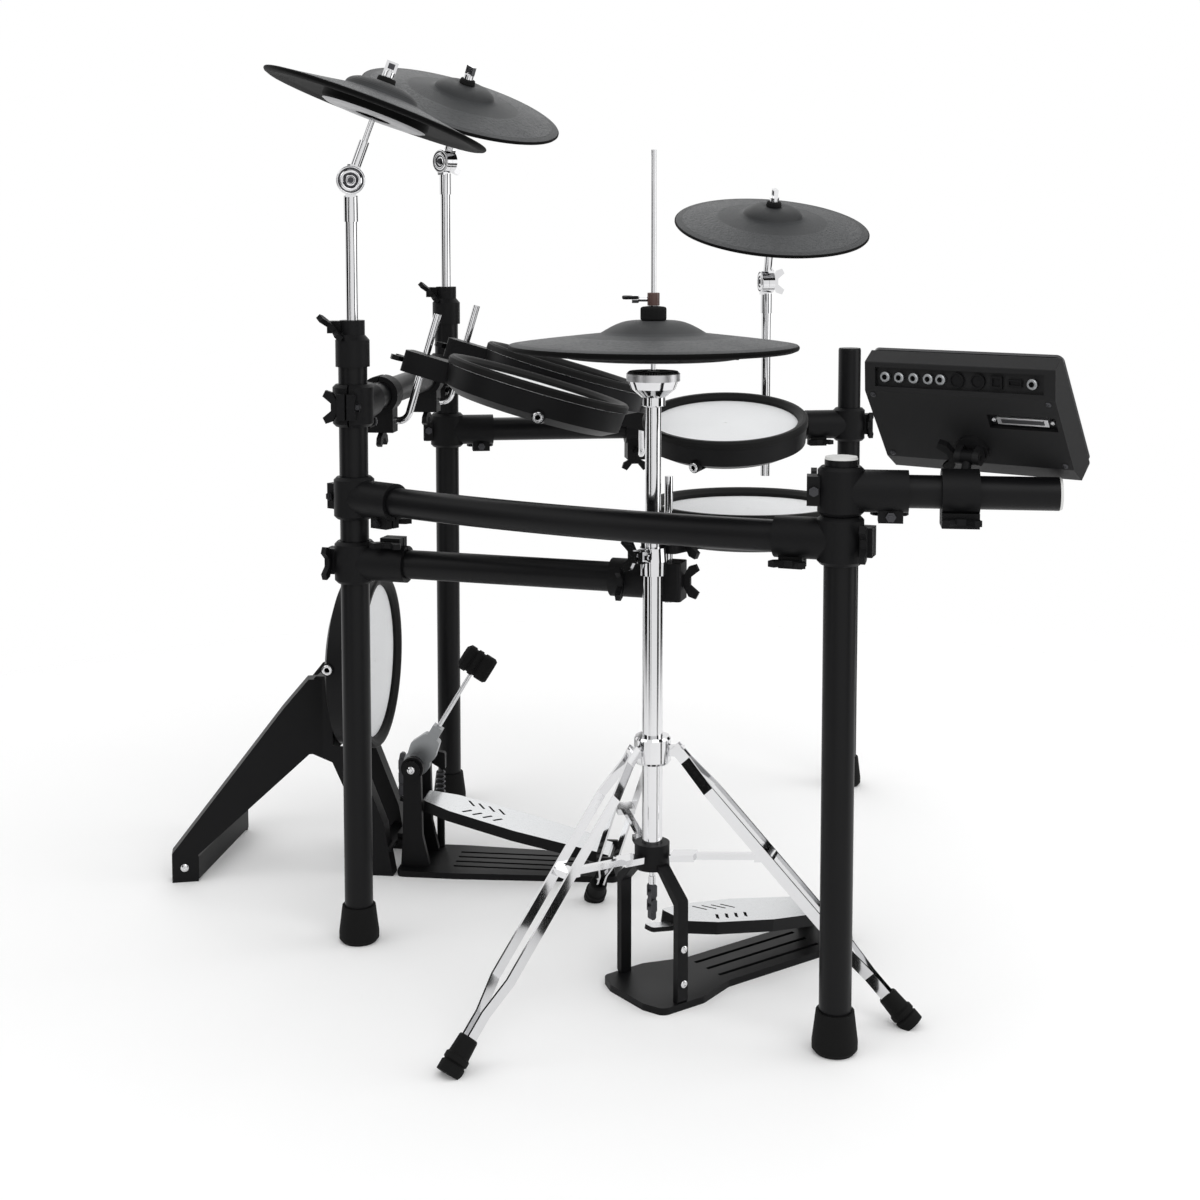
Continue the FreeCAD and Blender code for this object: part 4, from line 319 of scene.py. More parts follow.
def new_group(name, **inputs):
    """A group with named inputs that puts out a colour, a roughness and a height."""
    tree = bpy.data.node_groups.new(name, "ShaderNodeTree")
    for label, default in inputs.items():
        kind = "NodeSocketFloat" if isinstance(default, float) else SOCKETS[len(default)]
        socket = tree.interface.new_socket(label.replace("_", " "), in_out="INPUT", socket_type=kind)
        socket.default_value = default
    tree.interface.new_socket("Colour", in_out="OUTPUT", socket_type="NodeSocketColor")
    for label in ("Roughness", "Height"):
        tree.interface.new_socket(label, in_out="OUTPUT", socket_type="NodeSocketFloat")
    return tree, tree.nodes.new("NodeGroupInput").outputs, tree.nodes.new("NodeGroupOutput").inputs


def put_out(tree, made, colour, roughness, height):
    for label, value in (("Colour", colour), ("Roughness", roughness), ("Height", height)):
        feed(tree, made[label], value)


def put_out_toned(tree, given, made, value, height):
    """Lets one value lead a group's tone and sheen."""
    low = math_node(tree, "SUBTRACT", 1.0, given["Tone"])
    high = math_node(tree, "ADD", 1.0, given["Tone"])
    colour = tinted(tree, given["Colour"], span(tree, value, low, high))
    put_out(tree, made, colour, span(tree, value, given["Smooth"], given["Dull"]), height)


def grain_group():
    """Moulded or sprayed skin: fine grain with slow changes of tone and sheen."""
    tree, given, made = new_group("Skin grain", Colour=(0.02, 0.02, 0.02, 1), Grain=900.0, Tone=0.2,
                                  Smooth=0.4, Dull=0.6)
    place = object_place(tree)
    fine = noise(tree, place, given["Grain"], 2.0, 0.6)
    broad = noise(tree, place, 11.0, 4.0, 0.55)
    mixed = math_node(tree, "ADD", math_node(tree, "MULTIPLY", fine, 0.35),
                      math_node(tree, "MULTIPLY", broad, 0.65))
    put_out_toned(tree, given, made, mixed, fine)
    return tree


def brushed_group():
    """Metal with fine lines along one direction of the piece."""
    tree, given, made = new_group("Brushed lines", Colour=(0.6, 0.6, 0.6, 1), Stretch=(1.0, 60.0, 60.0),
                                  Turn=(0.0, 0.0, 0.0), Tone=0.15, Smooth=0.2, Dull=0.4)
    turn = tree.nodes.new("ShaderNodeVectorRotate")
    turn.rotation_type = "EULER_XYZ"
    feed(tree, turn.inputs["Vector"], object_place(tree))
    feed(tree, turn.inputs["Rotation"], given["Turn"])
    stretched = vector_node(tree, "MULTIPLY", turn.outputs["Vector"], given["Stretch"])
    lines = noise(tree, stretched.outputs["Vector"], 22.0, 5.0, 0.65)
    put_out_toned(tree, given, made, lines, lines)
    return tree


def hammered_group():
    """Cymbal skin: turned grooves all over and a hammered band, round the piece's own Z axis; in the band the
    hollows of the dents are painted darker and their rims lighter, as shade and highlight.
    """
    tree, given, made = new_group("Hammered skin", Colour=(0.05, 0.05, 0.05, 1), Band_Start=0.08,
                                  Band_End=0.15, Dent=190.0)
    place = object_place(tree)
    flat = vector_node(tree, "MULTIPLY", place, (1, 1, 0)).outputs["Vector"]
    radius = vector_node(tree, "LENGTH", flat).outputs["Value"]
    groove = half_wave(tree, "SINE", math_node(tree, "MULTIPLY", radius, 3600.0))
    cells = add_node(tree, "ShaderNodeTexVoronoi", Vector=flat, Scale=given["Dent"], Randomness=0.85)
    outside = math_node(tree, "SUBTRACT", 1.0, band_edge(tree, radius, given["Band End"], 0.004))
    band = math_node(tree, "MULTIPLY", band_edge(tree, radius, given["Band Start"], 0.006), outside)
    dent = math_node(tree, "MULTIPLY", math_node(tree, "SMOOTH_MIN", cells.outputs["Distance"], 0.6), band)
    height = math_node(tree, "ADD", math_node(tree, "MULTIPLY", groove, 0.18), dent)
    broad = noise(tree, place, 14.0, 4.0, 0.6)
    # Tone differs at random, and also follows the dents: their hollows are painted darker as shade and their
    # raised rims lighter as highlight.
    tone = math_node(tree, "ADD", span(tree, broad, 0.82, 1.12), math_node(tree, "MULTIPLY", dent, 0.5))
    rough = math_node(tree, "SUBTRACT", span(tree, broad, 0.5, 0.68), math_node(tree, "MULTIPLY", dent, 0.12))
    put_out(tree, made, tinted(tree, given["Colour"], tone), rough, height)
    return tree


def weave_group():
    """Plain weave of round threads across the piece's own X and Y, painted darker between the threads as
    shade.
    """
    tree, given, made = new_group("Plain weave", Colour=(0.8, 0.8, 0.8, 1), Pitch=0.0011, Shade=0.2)
    place = object_place(tree)
    split = add_node(tree, "ShaderNodeSeparateXYZ", Vector=place)
    turns = math_node(tree, "DIVIDE", math.tau, given["Pitch"])
    angles = [math_node(tree, "MULTIPLY", split.outputs[axis], turns) for axis in "XY"]
    waves = [half_wave(tree, "COSINE", angle) for angle in angles]
    thread = math_node(tree, "MAXIMUM", *waves)
    broad = noise(tree, place, 9.0, 3.0, 0.5)
    low = math_node(tree, "SUBTRACT", 1.0, given["Shade"])
    # Colour is painted darker as shade where the threads sink, between them; the broad noise is tone that
    # differs at random.
    shade = math_node(tree, "MULTIPLY", span(tree, thread, low, 1.0), span(tree, broad, 0.94, 1.04))
    put_out(tree, made, tinted(tree, given["Colour"], shade), span(tree, thread, 0.75, 0.55), thread)
    return tree


GROUPS = {}


def shared_group(maker):
    if maker not in GROUPS:
        GROUPS[maker] = maker()
    return GROUPS[maker]


# Finishes

FINISHES = {}


def finish_from(name, maker, settings, relief, depth=0.0004, **constants):
    """A material with a shared group's colour, roughness and relief, and plain constants on the shader."""
    if name in FINISHES:
        return FINISHES[name]
    material = bpy.data.materials.new(name)
    material.use_nodes = True
    tree = material.node_tree
    shader = tree.nodes["Principled BSDF"]
    group = tree.nodes.new("ShaderNodeGroup")
    group.node_tree = shared_group(maker)
    for socket, value in settings.items():
        group.inputs[socket].default_value = value
    for socket, value in constants.items():
        shader.inputs[socket.replace("_", " ")].default_value = value
    bump = add_node(tree, "ShaderNodeBump", Strength=relief, Distance=depth, Height=group.outputs["Height"])
    feed(tree, shader.inputs["Base Color"], group.outputs["Colour"])
    feed(tree, shader.inputs["Roughness"], group.outputs["Roughness"])
    feed(tree, shader.inputs["Normal"], bump.outputs["Normal"])
    FINISHES[name] = material
    return material


def rgba(colour, factor=1.0):
    return tuple(channel * factor for channel in colour) + (1.0,)


def grained(name, colour, grain, tone, sheen, relief, depth=0.0004, **constants):
    """A finish of the grain group; its sheen runs from the smoothest to the dullest roughness."""
    smooth, dull = sheen
    settings = {"Colour": rgba(colour), "Grain": grain, "Tone": tone, "Smooth": smooth, "Dull": dull}
    return finish_from(name, grain_group, settings, relief, depth, **constants)


def tube_paint():
    return grained("satin_tube_paint", colours().tube, 1500.0, 0.25, (0.3, 0.44), 0.05,
                   Specular_IOR_Level=0.16)


def sheet_paint():
    return grained("sheet_paint", colours().tube, 1100.0, 0.3, (0.36, 0.55), 0.2, Specular_IOR_Level=0.14)


def moulded_black():
    return grained("moulded_black", colours().plastic, 1900.0, 0.3, (0.38, 0.6), 0.22,
                   Specular_IOR_Level=0.14)


def shell_black():
    return grained("shell_black", colours().plastic, 1500.0, 0.25, (0.34, 0.55), 0.16,
                   Specular_IOR_Level=0.14)


def soft_rubber():
    return grained("soft_rubber", colours().rubber, 1200.0, 0.35, (0.58, 0.85), 0.25, Specular_IOR_Level=0.12)


def rim_rubber():
    return grained("rim_rubber", colours().rubber, 1300.0, 0.3, (0.42, 0.62), 0.15, Specular_IOR_Level=0.14)


def under_rubber():
    return grained("under_rubber", (0.0025, 0.0025, 0.0025), 900.0, 0.3, (0.5, 0.75), 0.2,
                   Specular_IOR_Level=0.06)


def felt_black():
    return grained("felt_black", (0.010, 0.010, 0.010), 2600.0, 0.5, (0.85, 1.0), 0.8, 0.0008,
                   Specular_IOR_Level=0.15)


def case_black():
    return grained("case_black", (0.0085, 0.0085, 0.009), 1700.0, 0.2, (0.42, 0.62), 0.3,
                   Specular_IOR_Level=0.22)


def panel_black():
    return grained("panel_black", (0.02, 0.02, 0.022), 1200.0, 0.15, (0.28, 0.4), 0.08)


def key_grey():
    return grained("key_grey", (0.10, 0.10, 0.11), 1500.0, 0.15, (0.45, 0.6), 0.2)


def plate_grey():
    return grained("plate_grey", (0.40, 0.40, 0.41), 700.0, 0.2, (0.4, 0.6), 0.15)


def pale_plug():
    return grained("pale_plug", (0.62, 0.62, 0.61), 900.0, 0.08, (0.4, 0.55), 0.1)


def clutch_brown():
    return grained("clutch_brown", (0.075, 0.035, 0.028), 1000.0, 0.2, (0.3, 0.45), 0.08)


def lamp_red():
    return grained("lamp_red", (0.32, 0.015, 0.012), 500.0, 0.2, (0.2, 0.3), 0.05)


def screen_glass():
    return grained("screen_glass", (0.02, 0.028, 0.034), 40.0, 0.3, (0.06, 0.12), 0.01,
                   Coat_Weight=1.0, Coat_Roughness=0.03)


def chrome():
    return grained("chrome", colours().chrome, 300.0, 0.05, (0.035, 0.11), 0.01, Metallic=1.0)


def satin_silver():
    return grained("satin_silver", (0.62, 0.62, 0.63), 900.0, 0.1, (0.28, 0.42), 0.06, Metallic=0.9)


def dark_steel():
    return grained("dark_steel", (0.06, 0.06, 0.065), 800.0, 0.3, (0.25, 0.45), 0.1, Metallic=0.9)


def cast_grey():
    return grained("cast_grey", (0.34, 0.35, 0.36), 900.0, 0.15, (0.3, 0.48), 0.15, Metallic=0.85)


def brushed_tread(name, turn, stretch):
    settings = {"Colour": rgba(colours().treadle), "Stretch": stretch, "Turn": turn, "Tone": 0.14,
                "Smooth": 0.2, "Dull": 0.38}
    return finish_from(name, brushed_group, settings, 0.05, Metallic=1.0)


def cymbal_skin(name, band, factor=1.0):
    """Rubber skin with a hammered band between two radii."""
    start, end = band
    settings = {"Colour": rgba(colours().cymbal, factor), "Band Start": start, "Band End": end, "Dent": 190.0}
    return finish_from(name, hammered_group, settings, 1.0, 0.0016, Specular_IOR_Level=0.4)


def mesh_white():
    settings = {"Colour": rgba(colours().mesh), "Pitch": sizes().thread_pitch, "Shade": 0.3}
    return finish_from("mesh_white", weave_group, settings, 0.5, 0.0003)


# Meshes

def basis(origin, z_axis, x_hint):
    """A frame at a point, from its Z axis and a direction that X leans to."""
    z = z_axis.normalized()
    x = (x_hint - z * x_hint.dot(z)).normalized()
    y = z.cross(x)
    return Matrix(((x.x, y.x, z.x, origin.x), (x.y, y.y, z.y, origin.y),
                   (x.z, y.z, z.z, origin.z), (0, 0, 0, 1)))


def new_piece(name, verts, faces, finishes):
    mesh = bpy.data.meshes.new(name)
    mesh.from_pydata(verts, [], faces)
    mesh.update()
    for finish in finishes:
        mesh.materials.append(finish)
    piece = bpy.data.objects.new(name, mesh)
    bpy.context.scene.collection.objects.link(piece)
    return piece


def soften_edges(piece, width, segments):
    bevel = piece.modifiers.new("edges", "BEVEL")
    bevel.width = width
    bevel.segments = segments
    bevel.limit_method = "ANGLE"
    bevel.angle_limit = math.radians(40)
    bevel.harden_normals = True


def shade_smooth(mesh):
    mesh.polygons.foreach_set("use_smooth", [True] * len(mesh.polygons))


def lathe(name, profile, finishes, matrix, segments=144):
    """A closed (r, z, finish) profile turned round Z; each strip takes the finish of its first point."""
    count = len(profile)
    angles = [math.tau * k / segments for k in range(segments)]
    verts = [(r * math.cos(a), r * math.sin(a), z) for r, z, _ in profile for a in angles]
    faces = []
    slots = []
    for i in range(count):
        first = i * segments
        last = (i + 1) % count * segments
        for k in range(segments):
            after = (k + 1) % segments
            faces.append((first + k, first + after, last + after, last + k))
            slots.append(profile[i][2])
    piece = new_piece(name, verts, faces, finishes)
    piece.data.polygons.foreach_set("material_index", slots)
    shade_smooth(piece.data)
    piece.matrix_world = matrix
    return piece


def turned(name, outline, rounding, finish, matrix, segments):
    """A turned piece of one finish, from a closed (r, z) outline whose corners are rounded."""
    steps = 4
    profile = []
    for i, point in enumerate(outline):
        corner = Vector(point)
        before = Vector(outline[i - 1]) - corner
        after = Vector(outline[(i + 1) % len(outline)]) - corner
        reach = min(rounding, before.length * 0.45, after.length * 0.45)
        first = corner + before.normalized() * reach
        last = corner + after.normalized() * reach
        for step in range(steps + 1):
            t = step / steps
            place = first * (1 - t) ** 2 + corner * (2 * t * (1 - t)) + last * t ** 2
            profile.append((place.x, place.y, 0))
    return lathe(name, profile, [finish], matrix, segments)


def rounded_block(name, size, matrix, finish, rounding=0.001):
    """A small moulded block with rounded edges, seated with its underside at the matrix's origin."""
    x, y, z = (value / 2 for value in size)
    corners = [(sx * x, sy * y, sz * z + z) for sz in (-1, 1) for sy in (-1, 1) for sx in (-1, 1)]
    faces = [(0, 2, 3, 1), (4, 5, 7, 6), (0, 1, 5, 4), (2, 6, 7, 3), (0, 4, 6, 2), (1, 3, 7, 5)]
    piece = new_piece(name, corners, faces, [finish])
    shade_smooth(piece.data)
    piece.matrix_world = matrix
    soften_edges(piece, rounding, 3)
    return piece


def dressed(node, *finishes, bevel=True):
    """Gives a CAD node its finishes, all faces in the first, with smooth shading and softened edges."""
    mesh = NODES[node].data
    mesh.materials.clear()
    for finish in finishes:
        mesh.materials.append(finish)
    shade_smooth(mesh)
    mesh.polygons.foreach_set("material_index", [0] * len(mesh.polygons))
    mesh.set_sharp_from_angle(angle=math.radians(30))
    if bevel:
        soften_edges(NODES[node], sizes().edge_softness, 2)


def rows_of(items, field):
    values = np.empty(len(items) * 3)
    items.foreach_get(field, values)
    return values.reshape(-1, 3)


def face_centres(node):
    return rows_of(NODES[node].data.polygons, "center")


def face_normals(node):
    return rows_of(NODES[node].data.polygons, "normal")


def vertex_places(node):
    return rows_of(NODES[node].data.vertices, "co")


def repaint(node, mask, slot):
    """Puts the faces of a mask in one material slot of a node."""
    faces = NODES[node].data.polygons
    current = np.empty(len(faces), dtype=np.int32)
    faces.foreach_get("material_index", current)
    current[mask] = slot
    faces.foreach_set("material_index", current)


def settle(piece, body):
    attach(piece, body)


# Places and directions from the frame

def joint_point(name):
    return Vector(JOINTS[name]["pos_m"])


def joint_axis(name):
    return Vector(JOINTS[name]["axis"])


def node_middle(node):
    low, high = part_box(node)
    return (low + high) / 2


def direction(angle):
    return Vector((math.cos(angle), math.sin(angle), 0))


def bearing(start, end):
    return math.atan2(end.y - start.y, end.x - start.x)


def joint_clamps():
    """Node, centre, bar's direction and upward axis of each clamp that joins a bar to a post."""
    front_left = joint_point("left_wing_swing")
    front_right = joint_point("right_wing_swing")
    rear_left = node_middle("rear_left_post")
    rear_right = node_middle("rear_right_post")
    left = bearing(front_left, rear_left)
    right = bearing(front_right, rear_right)
    snare = bearing(front_left, node_middle("snare_arm_tube"))
    rows = (("front_clamps", front_left, "front_bar", 0.0, UP),
            ("front_clamps", front_right, "front_bar", math.pi, UP),
            ("left_clamps", front_left, "left_bar", left - BAR_BOW, UP),
            ("left_clamps", rear_left, "left_bar", left + math.pi + BAR_BOW, UP),
            ("left_clamps", rear_left, "module_arm", -math.pi / 2, UP),
            ("right_clamps", front_right, "right_bar", right, UP),
            ("right_clamps", rear_right, "right_bar", right + math.pi, UP),
            ("snare_arm_clamps", front_left, "snare_arm_tube", snare, -UP))
    for node, post, bar, angle, up in rows:
        yield node, Vector((post.x, post.y, node_middle(bar).z)), direction(angle), up


# Operators, one for each group of like pieces

class KIT_OT_rack(bpy.types.Operator):
    """Finish the rack: tubes, plugs, clamps, holders and feet"""
    bl_idname = "kit.rack"
    bl_label = "Rack"

    def execute(self, context):
        for node in TUBES:
            dressed(node, tube_paint(), pale_plug(), bevel=False)
        _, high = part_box("rear_left_post")
        repaint("rear_left_post", face_centres("rear_left_post")[:, 2] > high.z - END_PLUG, 1)
        low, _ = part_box("module_arm")
        repaint("module_arm", face_centres("module_arm")[:, 1] < low.y + END_PLUG, 1)
        for node in CLAMPS:
            dressed(node, moulded_black(), dark_steel())
        for node in POST_FEET:
            dressed(node, soft_rubber())
        self.nuts()
        return {"FINISHED"}

    def nuts(self):
        """The hexagon nuts and screw ends of the joint clamps are bare steel."""
        for node, centre, bar, up in joint_clamps():
            local = basis(centre, up, bar).inverted()
            places = np.array([local @ face.center for face in NODES[node].data.polygons])
            outside = (places[:, 1] < NUT_FACE) & (places[:, 1] > NUT_END)
            for x, z in NUT_PLACES:
                repaint(node, (np.hypot(places[:, 0] - x, places[:, 2] - z) < NUT_REACH) & outside, 1)


class KIT_OT_chromework(bpy.types.Operator):
    """Finish the plated rods, booms, tilters and hi-hat stand"""
    bl_idname = "kit.chromework"
    bl_label = "Chromework"

    def execute(self, context):
        for node in CHROMED:
            dressed(node, chrome(), dark_steel())
        dressed("hihat_upper_tube", chrome(), soft_rubber(), satin_silver())
        heights = face_centres("hihat_upper_tube")[:, 2]
        _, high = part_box("hihat_upper_tube")
        repaint("hihat_upper_tube", heights > high.z - HIHAT_SEAT, 2)
        repaint("hihat_upper_tube", heights > high.z - HIHAT_PUCK, 1)
        dressed("hihat_feet", soft_rubber())
        for name in CYMBALS:
            self.tilter_cap(name)
            self.nut_hole_shades(name)
        return {"FINISHED"}

    def nut_hole_shades(self, name):
        """A dark block in each face of the top nut's wing, painted as the shade seen through its window."""
        pivot = joint_point(name + "_tilt")
        across = joint_axis(name + "_tilt")
        normal = (joint_point(name + "_rock") - pivot).normalized()
        top = max((vertex.co - pivot).dot(normal) for vertex in NODES[name + "_tilter"].data.vertices)
        for side, label in ((-1, "near"), (1, "far")):
            at = pivot + normal * (top - HOLE_SHADE_DROP) + across * (side * WING_FACE)
            # a dark block painted as shade where the wing's window shows only shade
            shade_block = rounded_block(f"{name}_nut_hole_shade_{label}", HOLE_SHADE, basis(at, across * side, normal),
                                   dark_steel(), 0.0003)
            settle(shade_block, name + "_tilter")

    def tilter_cap(self, name):
        """A stepped ring round the end of the tilter's pin, on the face away from its wing screw, with
        painted shade in its two grooves.
        """
        pivot = joint_point(name + "_tilt")
        out = joint_axis(name + "_tilt")
        places = face_centres(name + "_boom") - np.array(pivot)
        along = places @ np.array(out)
        near = np.linalg.norm(places, axis=1) < TILTER_REACH
        if along[near].max() > -along[near].min():
            out = -out
            along = -along
        repaint(name + "_boom", near & (along > TILTER_FACE + 0.0001), 1)
        # Finish 1 is dark steel painted as shade on the floors and outer walls of the two grooves.
        steps = [(0.0046, -0.0002, 0), (0.0046, 0.0014, 0), (0.0064, 0.0018, 0), (0.0072, 0.0008, 1),
                 (0.0092, 0.0008, 1), (0.0100, 0.0022, 0), (0.0120, 0.0028, 0), (0.0138, 0.0022, 0),
                 (0.0144, 0.0008, 1), (0.0160, 0.0008, 1), (0.0166, 0.0016, 0), (0.0182, 0.0012, 0),
                 (0.0186, 0.0004, 0), (0.0186, -0.0002, 0)]
        seat = basis(pivot + out * (TILTER_FACE - 0.00005), out, UP)
        cap = lathe(name + "_tilter_cap", steps, [chrome(), dark_steel()], seat, 56)
        settle(cap, name + "_boom")


def cymbal_profile(edge):
    """Closed (r, z, finish) profile of a crash or ride: 0 skin, 1 bell, 2 edge and underside, 3 plate."""
    profile = []
    for step in range(13):
        t = step / 12
        profile.append((edge - 0.002 - (edge - 0.002 - BELL_RADIUS) * t,
                        0.0002 + BOW_RISE * t * (0.86 + 0.14 * t), 0))
    for step in range(1, 10):
        angle = math.pi / 2 * step / 9
        profile.append((BELL_RADIUS - (BELL_RADIUS - 0.02) * (1 - math.cos(angle)),
                        BOW_RISE + BELL_RISE * math.sin(angle), 1))
    profile += [(PAD_HOLE, BOW_RISE + BELL_RISE, 1), (PAD_HOLE, 0.008, 2), (CAN_MOUTH, 0.008, 2),
                (CAN_MOUTH, -0.013, 3), (CAN_RADIUS - 0.008, -0.013, 3), (CAN_RADIUS - 0.002, -0.0105, 2),
                (CAN_RADIUS, -0.007, 2), (CAN_RADIUS, 0.004, 2), (edge - 0.026, -0.004, 2),
                (edge - 0.014, -0.0064, 2), (edge - 0.007, -0.0068, 2), (edge - 0.0015, -0.0048, 2),
                (edge, -0.0030, 2), (edge, -0.0012, 2), (edge - 0.0008, -0.0003, 2)]
    return profile


def hihat_profile():
    """Closed (r, z, finish) profile of the hi-hat: 0 skin, 1 crown, 2 edge and underside, 3 plate."""
    edge = HIHAT_EDGE
    hole = HIHAT_HOLE
    profile = []
    for step in range(11):
        t = step / 10
        profile.append((edge - 0.0015 - (edge - 0.0675) * t, 0.0004 + 0.0136 * t ** 0.9, 0))
    for step in range(1, 11):
        t = step / 10
        profile.append((0.066 - 0.041 * t, 0.014 + 0.016 * math.sin(math.pi / 2 * t), 1))
    profile += [(hole, HIHAT_TOP, 1), (hole, -HIHAT_DEPTH, 2), (0.102, -HIHAT_DEPTH, 3), (0.107, -0.0152, 2),
                (0.116, -0.0116, 2), (0.118, -0.0105, 2)]
    for ridge in (0.124, 0.136):
        profile += [(ridge, -0.0088, 2), (ridge + 0.002, -0.0102, 2), (ridge + 0.005, -0.0102, 2),
                    (ridge + 0.007, -0.0088, 2)]
    profile += [(edge - 0.022, -0.0088, 2), (edge - 0.006, -0.0072, 2), (edge - 0.001, -0.0052, 2),
                (edge, -0.0034, 2), (edge, -0.0014, 2)]
    return profile


class KIT_OT_cymbals(bpy.types.Operator):
    """Model the rubber cymbal pads and their felts"""
    bl_idname = "kit.cymbals"
    bl_label = "Cymbal pads"

    def execute(self, context):
        for name in CYMBALS:
            self.cymbal(name)
        self.hihat()
        return {"FINISHED"}

    def cymbal(self, name):
        body = name + "_pad"
        rock = joint_point(name + "_rock")
        normal = (rock - joint_point(name + "_tilt")).normalized()
        matrix = basis(rock - normal * PAD_BELOW_ROCK, normal, joint_axis(name + "_rock"))
        local = matrix.inverted()
        edge = max((local @ vertex.co).xy.length for vertex in NODES[body].data.vertices)
        skins = [cymbal_skin(name + "_skin", (edge - BAND_REACH, edge - BAND_MARGIN)),
                 cymbal_skin("cymbal_bell", NO_BAND, 0.62), under_rubber(), plate_grey()]
        pad = lathe(body + "_skin", cymbal_profile(edge), skins, matrix)
        settle(pad, body)
        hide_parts(name + "_pad")
        top = BOW_RISE + BELL_RISE
        outline = [(PAD_HOLE, top), (0.013, top), (0.012, top + 0.008), (PAD_HOLE, top + 0.008)]
        settle(turned(body + "_felt", outline, 0.0018, felt_black(), matrix, 48), body)

    def hihat(self):
        axis = node_middle("hihat_pull_rod")
        low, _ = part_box("hihat_pad")
        matrix = basis(Vector((axis.x, axis.y, low.z + HIHAT_DEPTH)), UP, RIGHT)
        skins = [cymbal_skin("hihat_skin", HIHAT_BAND), cymbal_skin("hihat_crown", NO_BAND, 0.7),
                 under_rubber(), plate_grey()]
        pad = lathe("hihat_pad_skin", hihat_profile(), skins, matrix, 160)
        settle(pad, "hihat_pad")
        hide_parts("hihat_pad")
        hole = HIHAT_HOLE
        outline = [(hole, HIHAT_TOP), (0.016, HIHAT_TOP), (0.016, 0.0465), (hole, 0.048)]
        settle(turned("hihat_felt", outline, 0.003, felt_black(), matrix, 56), "hihat_pad")
        outline = [(hole, CLUTCH_FOOT), (CLUTCH_RADIUS, CLUTCH_FOOT), (CLUTCH_RADIUS, CLUTCH_TOP),
                   (hole, CLUTCH_TOP)]
        settle(turned("hihat_clutch", outline, 0.001, clutch_brown(), matrix, 40), "hihat_pad")
        self.clutch_screw(matrix)
        self.tray_ribs(matrix)

    def tray_ribs(self, matrix):
        """Ribs across the tray under the hi-hat's edge."""
        for index in range(RIBS):
            out = direction(math.tau * index / RIBS)
            place = basis(matrix.translation + out * RIB_OUT - UP * RIB_BELOW, UP, out)
            rib = rounded_block(f"hihat_rib_{index:02d}", RIB, place, moulded_black(), 0.0005)
            settle(rib, "hihat_pad")

    def clutch_screw(self, matrix):
        """The clutch's wing screw, its blades lying flat on the far side from the pedal."""
        out = direction(CLUTCH_HEADING)
        aside = UP.cross(out)
        seat = matrix.translation + out * (CLUTCH_RADIUS - 0.0001) + UP * CLUTCH_SCREW
        outline = [(0.0002, 0.0), (0.0030, 0.0), (0.0030, 0.010), (0.0048, 0.011), (0.0048, 0.019),
                   (0.0002, 0.019)]
        shank = turned("hihat_clutch_shank", outline, 0.0006, chrome(), basis(seat, out, UP), 28)
        settle(shank, "hihat_pad")
        for side, name in ((-1, "near"), (1, "far")):
            lean = (out + aside * side * 0.55).normalized()
            wing = basis(seat + out * 0.021 + aside * (side * 0.0065), UP, lean)
            blade = rounded_block("hihat_clutch_wing_" + name, CLUTCH_WING, wing, moulded_black(), 0.0016)
            settle(blade, "hihat_pad")


class KIT_OT_drums(bpy.types.Operator):
    """Finish the drum shells and model the mesh heads and jack nuts"""
    bl_idname = "kit.drums"
    bl_label = "Drum pads"

    def execute(self, context):
        for name in DRUMS:
            normal = joint_axis(name + "_height")
            self.head(name, name, normal)
            self.shell(name, normal)
            self.jack_nut(name, name, self.jack_mouth(name, normal))
        toward_beater = Vector((0, -1, 0))
        self.head("kick_pad", "rack", toward_beater)
        self.shell("kick_pad", toward_beater)
        middle = node_middle("kick_pad_shell")
        _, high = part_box("kick_pad_shell")
        mouth = Vector((middle.x - JACK_OUT, high.y - KICK_JACK_AHEAD, middle.z + KICK_JACK_RISE))
        self.jack_nut("kick_pad", "rack", basis(mouth, -RIGHT, UP))
        return {"FINISHED"}

    def jack_mouth(self, name, normal):
        """Where a drum's jack opens: beside the shell, square to the arm that holds the drum on its rod."""
        middle = node_middle(name + "_head")
        places = vertex_places(name + "_shell") - np.array(middle)
        flat = places - np.outer(places @ np.array(normal), np.array(normal))
        far = flat[np.linalg.norm(flat, axis=1) > ARM_REACH]
        arm = Vector(far.mean(axis=0)).normalized()
        aside = normal.cross(arm)
        return basis(middle - arm * JACK_BACK + aside * JACK_OUT - normal * JACK_BELOW, aside, normal)

    def jack_nut(self, name, body, matrix):
        """A plated ring nut with a dark bore on the mouth of a jack."""
        outer = sizes().jack_nut / 2
        outline = [(0.0034, -0.0004), (outer, -0.0004), (outer, 0.0012), (outer - 0.0016, 0.0024),
                   (0.0042, 0.0024), (0.0034, 0.0016)]
        settle(turned(name + "_jack_nut", outline, 0.0004, chrome(), matrix, 36), body)

    def head(self, name, body, normal):
        """A crowned disc of woven mesh, in place of the plain CAD disc."""
        radius = HEAD_RADIUS
        profile = [(radius, -0.0004, 0), (radius, 0.0003, 0)]
        for step in range(1, 25):
            r = radius * (1 - step / 24)
            profile.append((max(r, 0.0004), 0.0005 + sizes().head_dome * (1 - (r / radius) ** 2), 0))
        profile.append((0.0004, -0.0004, 0))
        matrix = basis(node_middle(name + "_head"), normal, RIGHT)
        head = lathe(name + "_mesh", profile, [mesh_white()], matrix, 128)
        settle(head, body)
        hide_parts(name + "_head")

    def shell(self, name, normal):
        node = name + "_shell"
        dressed(node, shell_black(), rim_rubber())
        places = face_centres(node) - np.array(node_middle(name + "_head"))
        along = places @ np.array(normal)
        across = np.linalg.norm(places - np.outer(along, np.array(normal)), axis=1)
        repaint(node, (along > 0.0) & (across < RIM_REACH), 1)


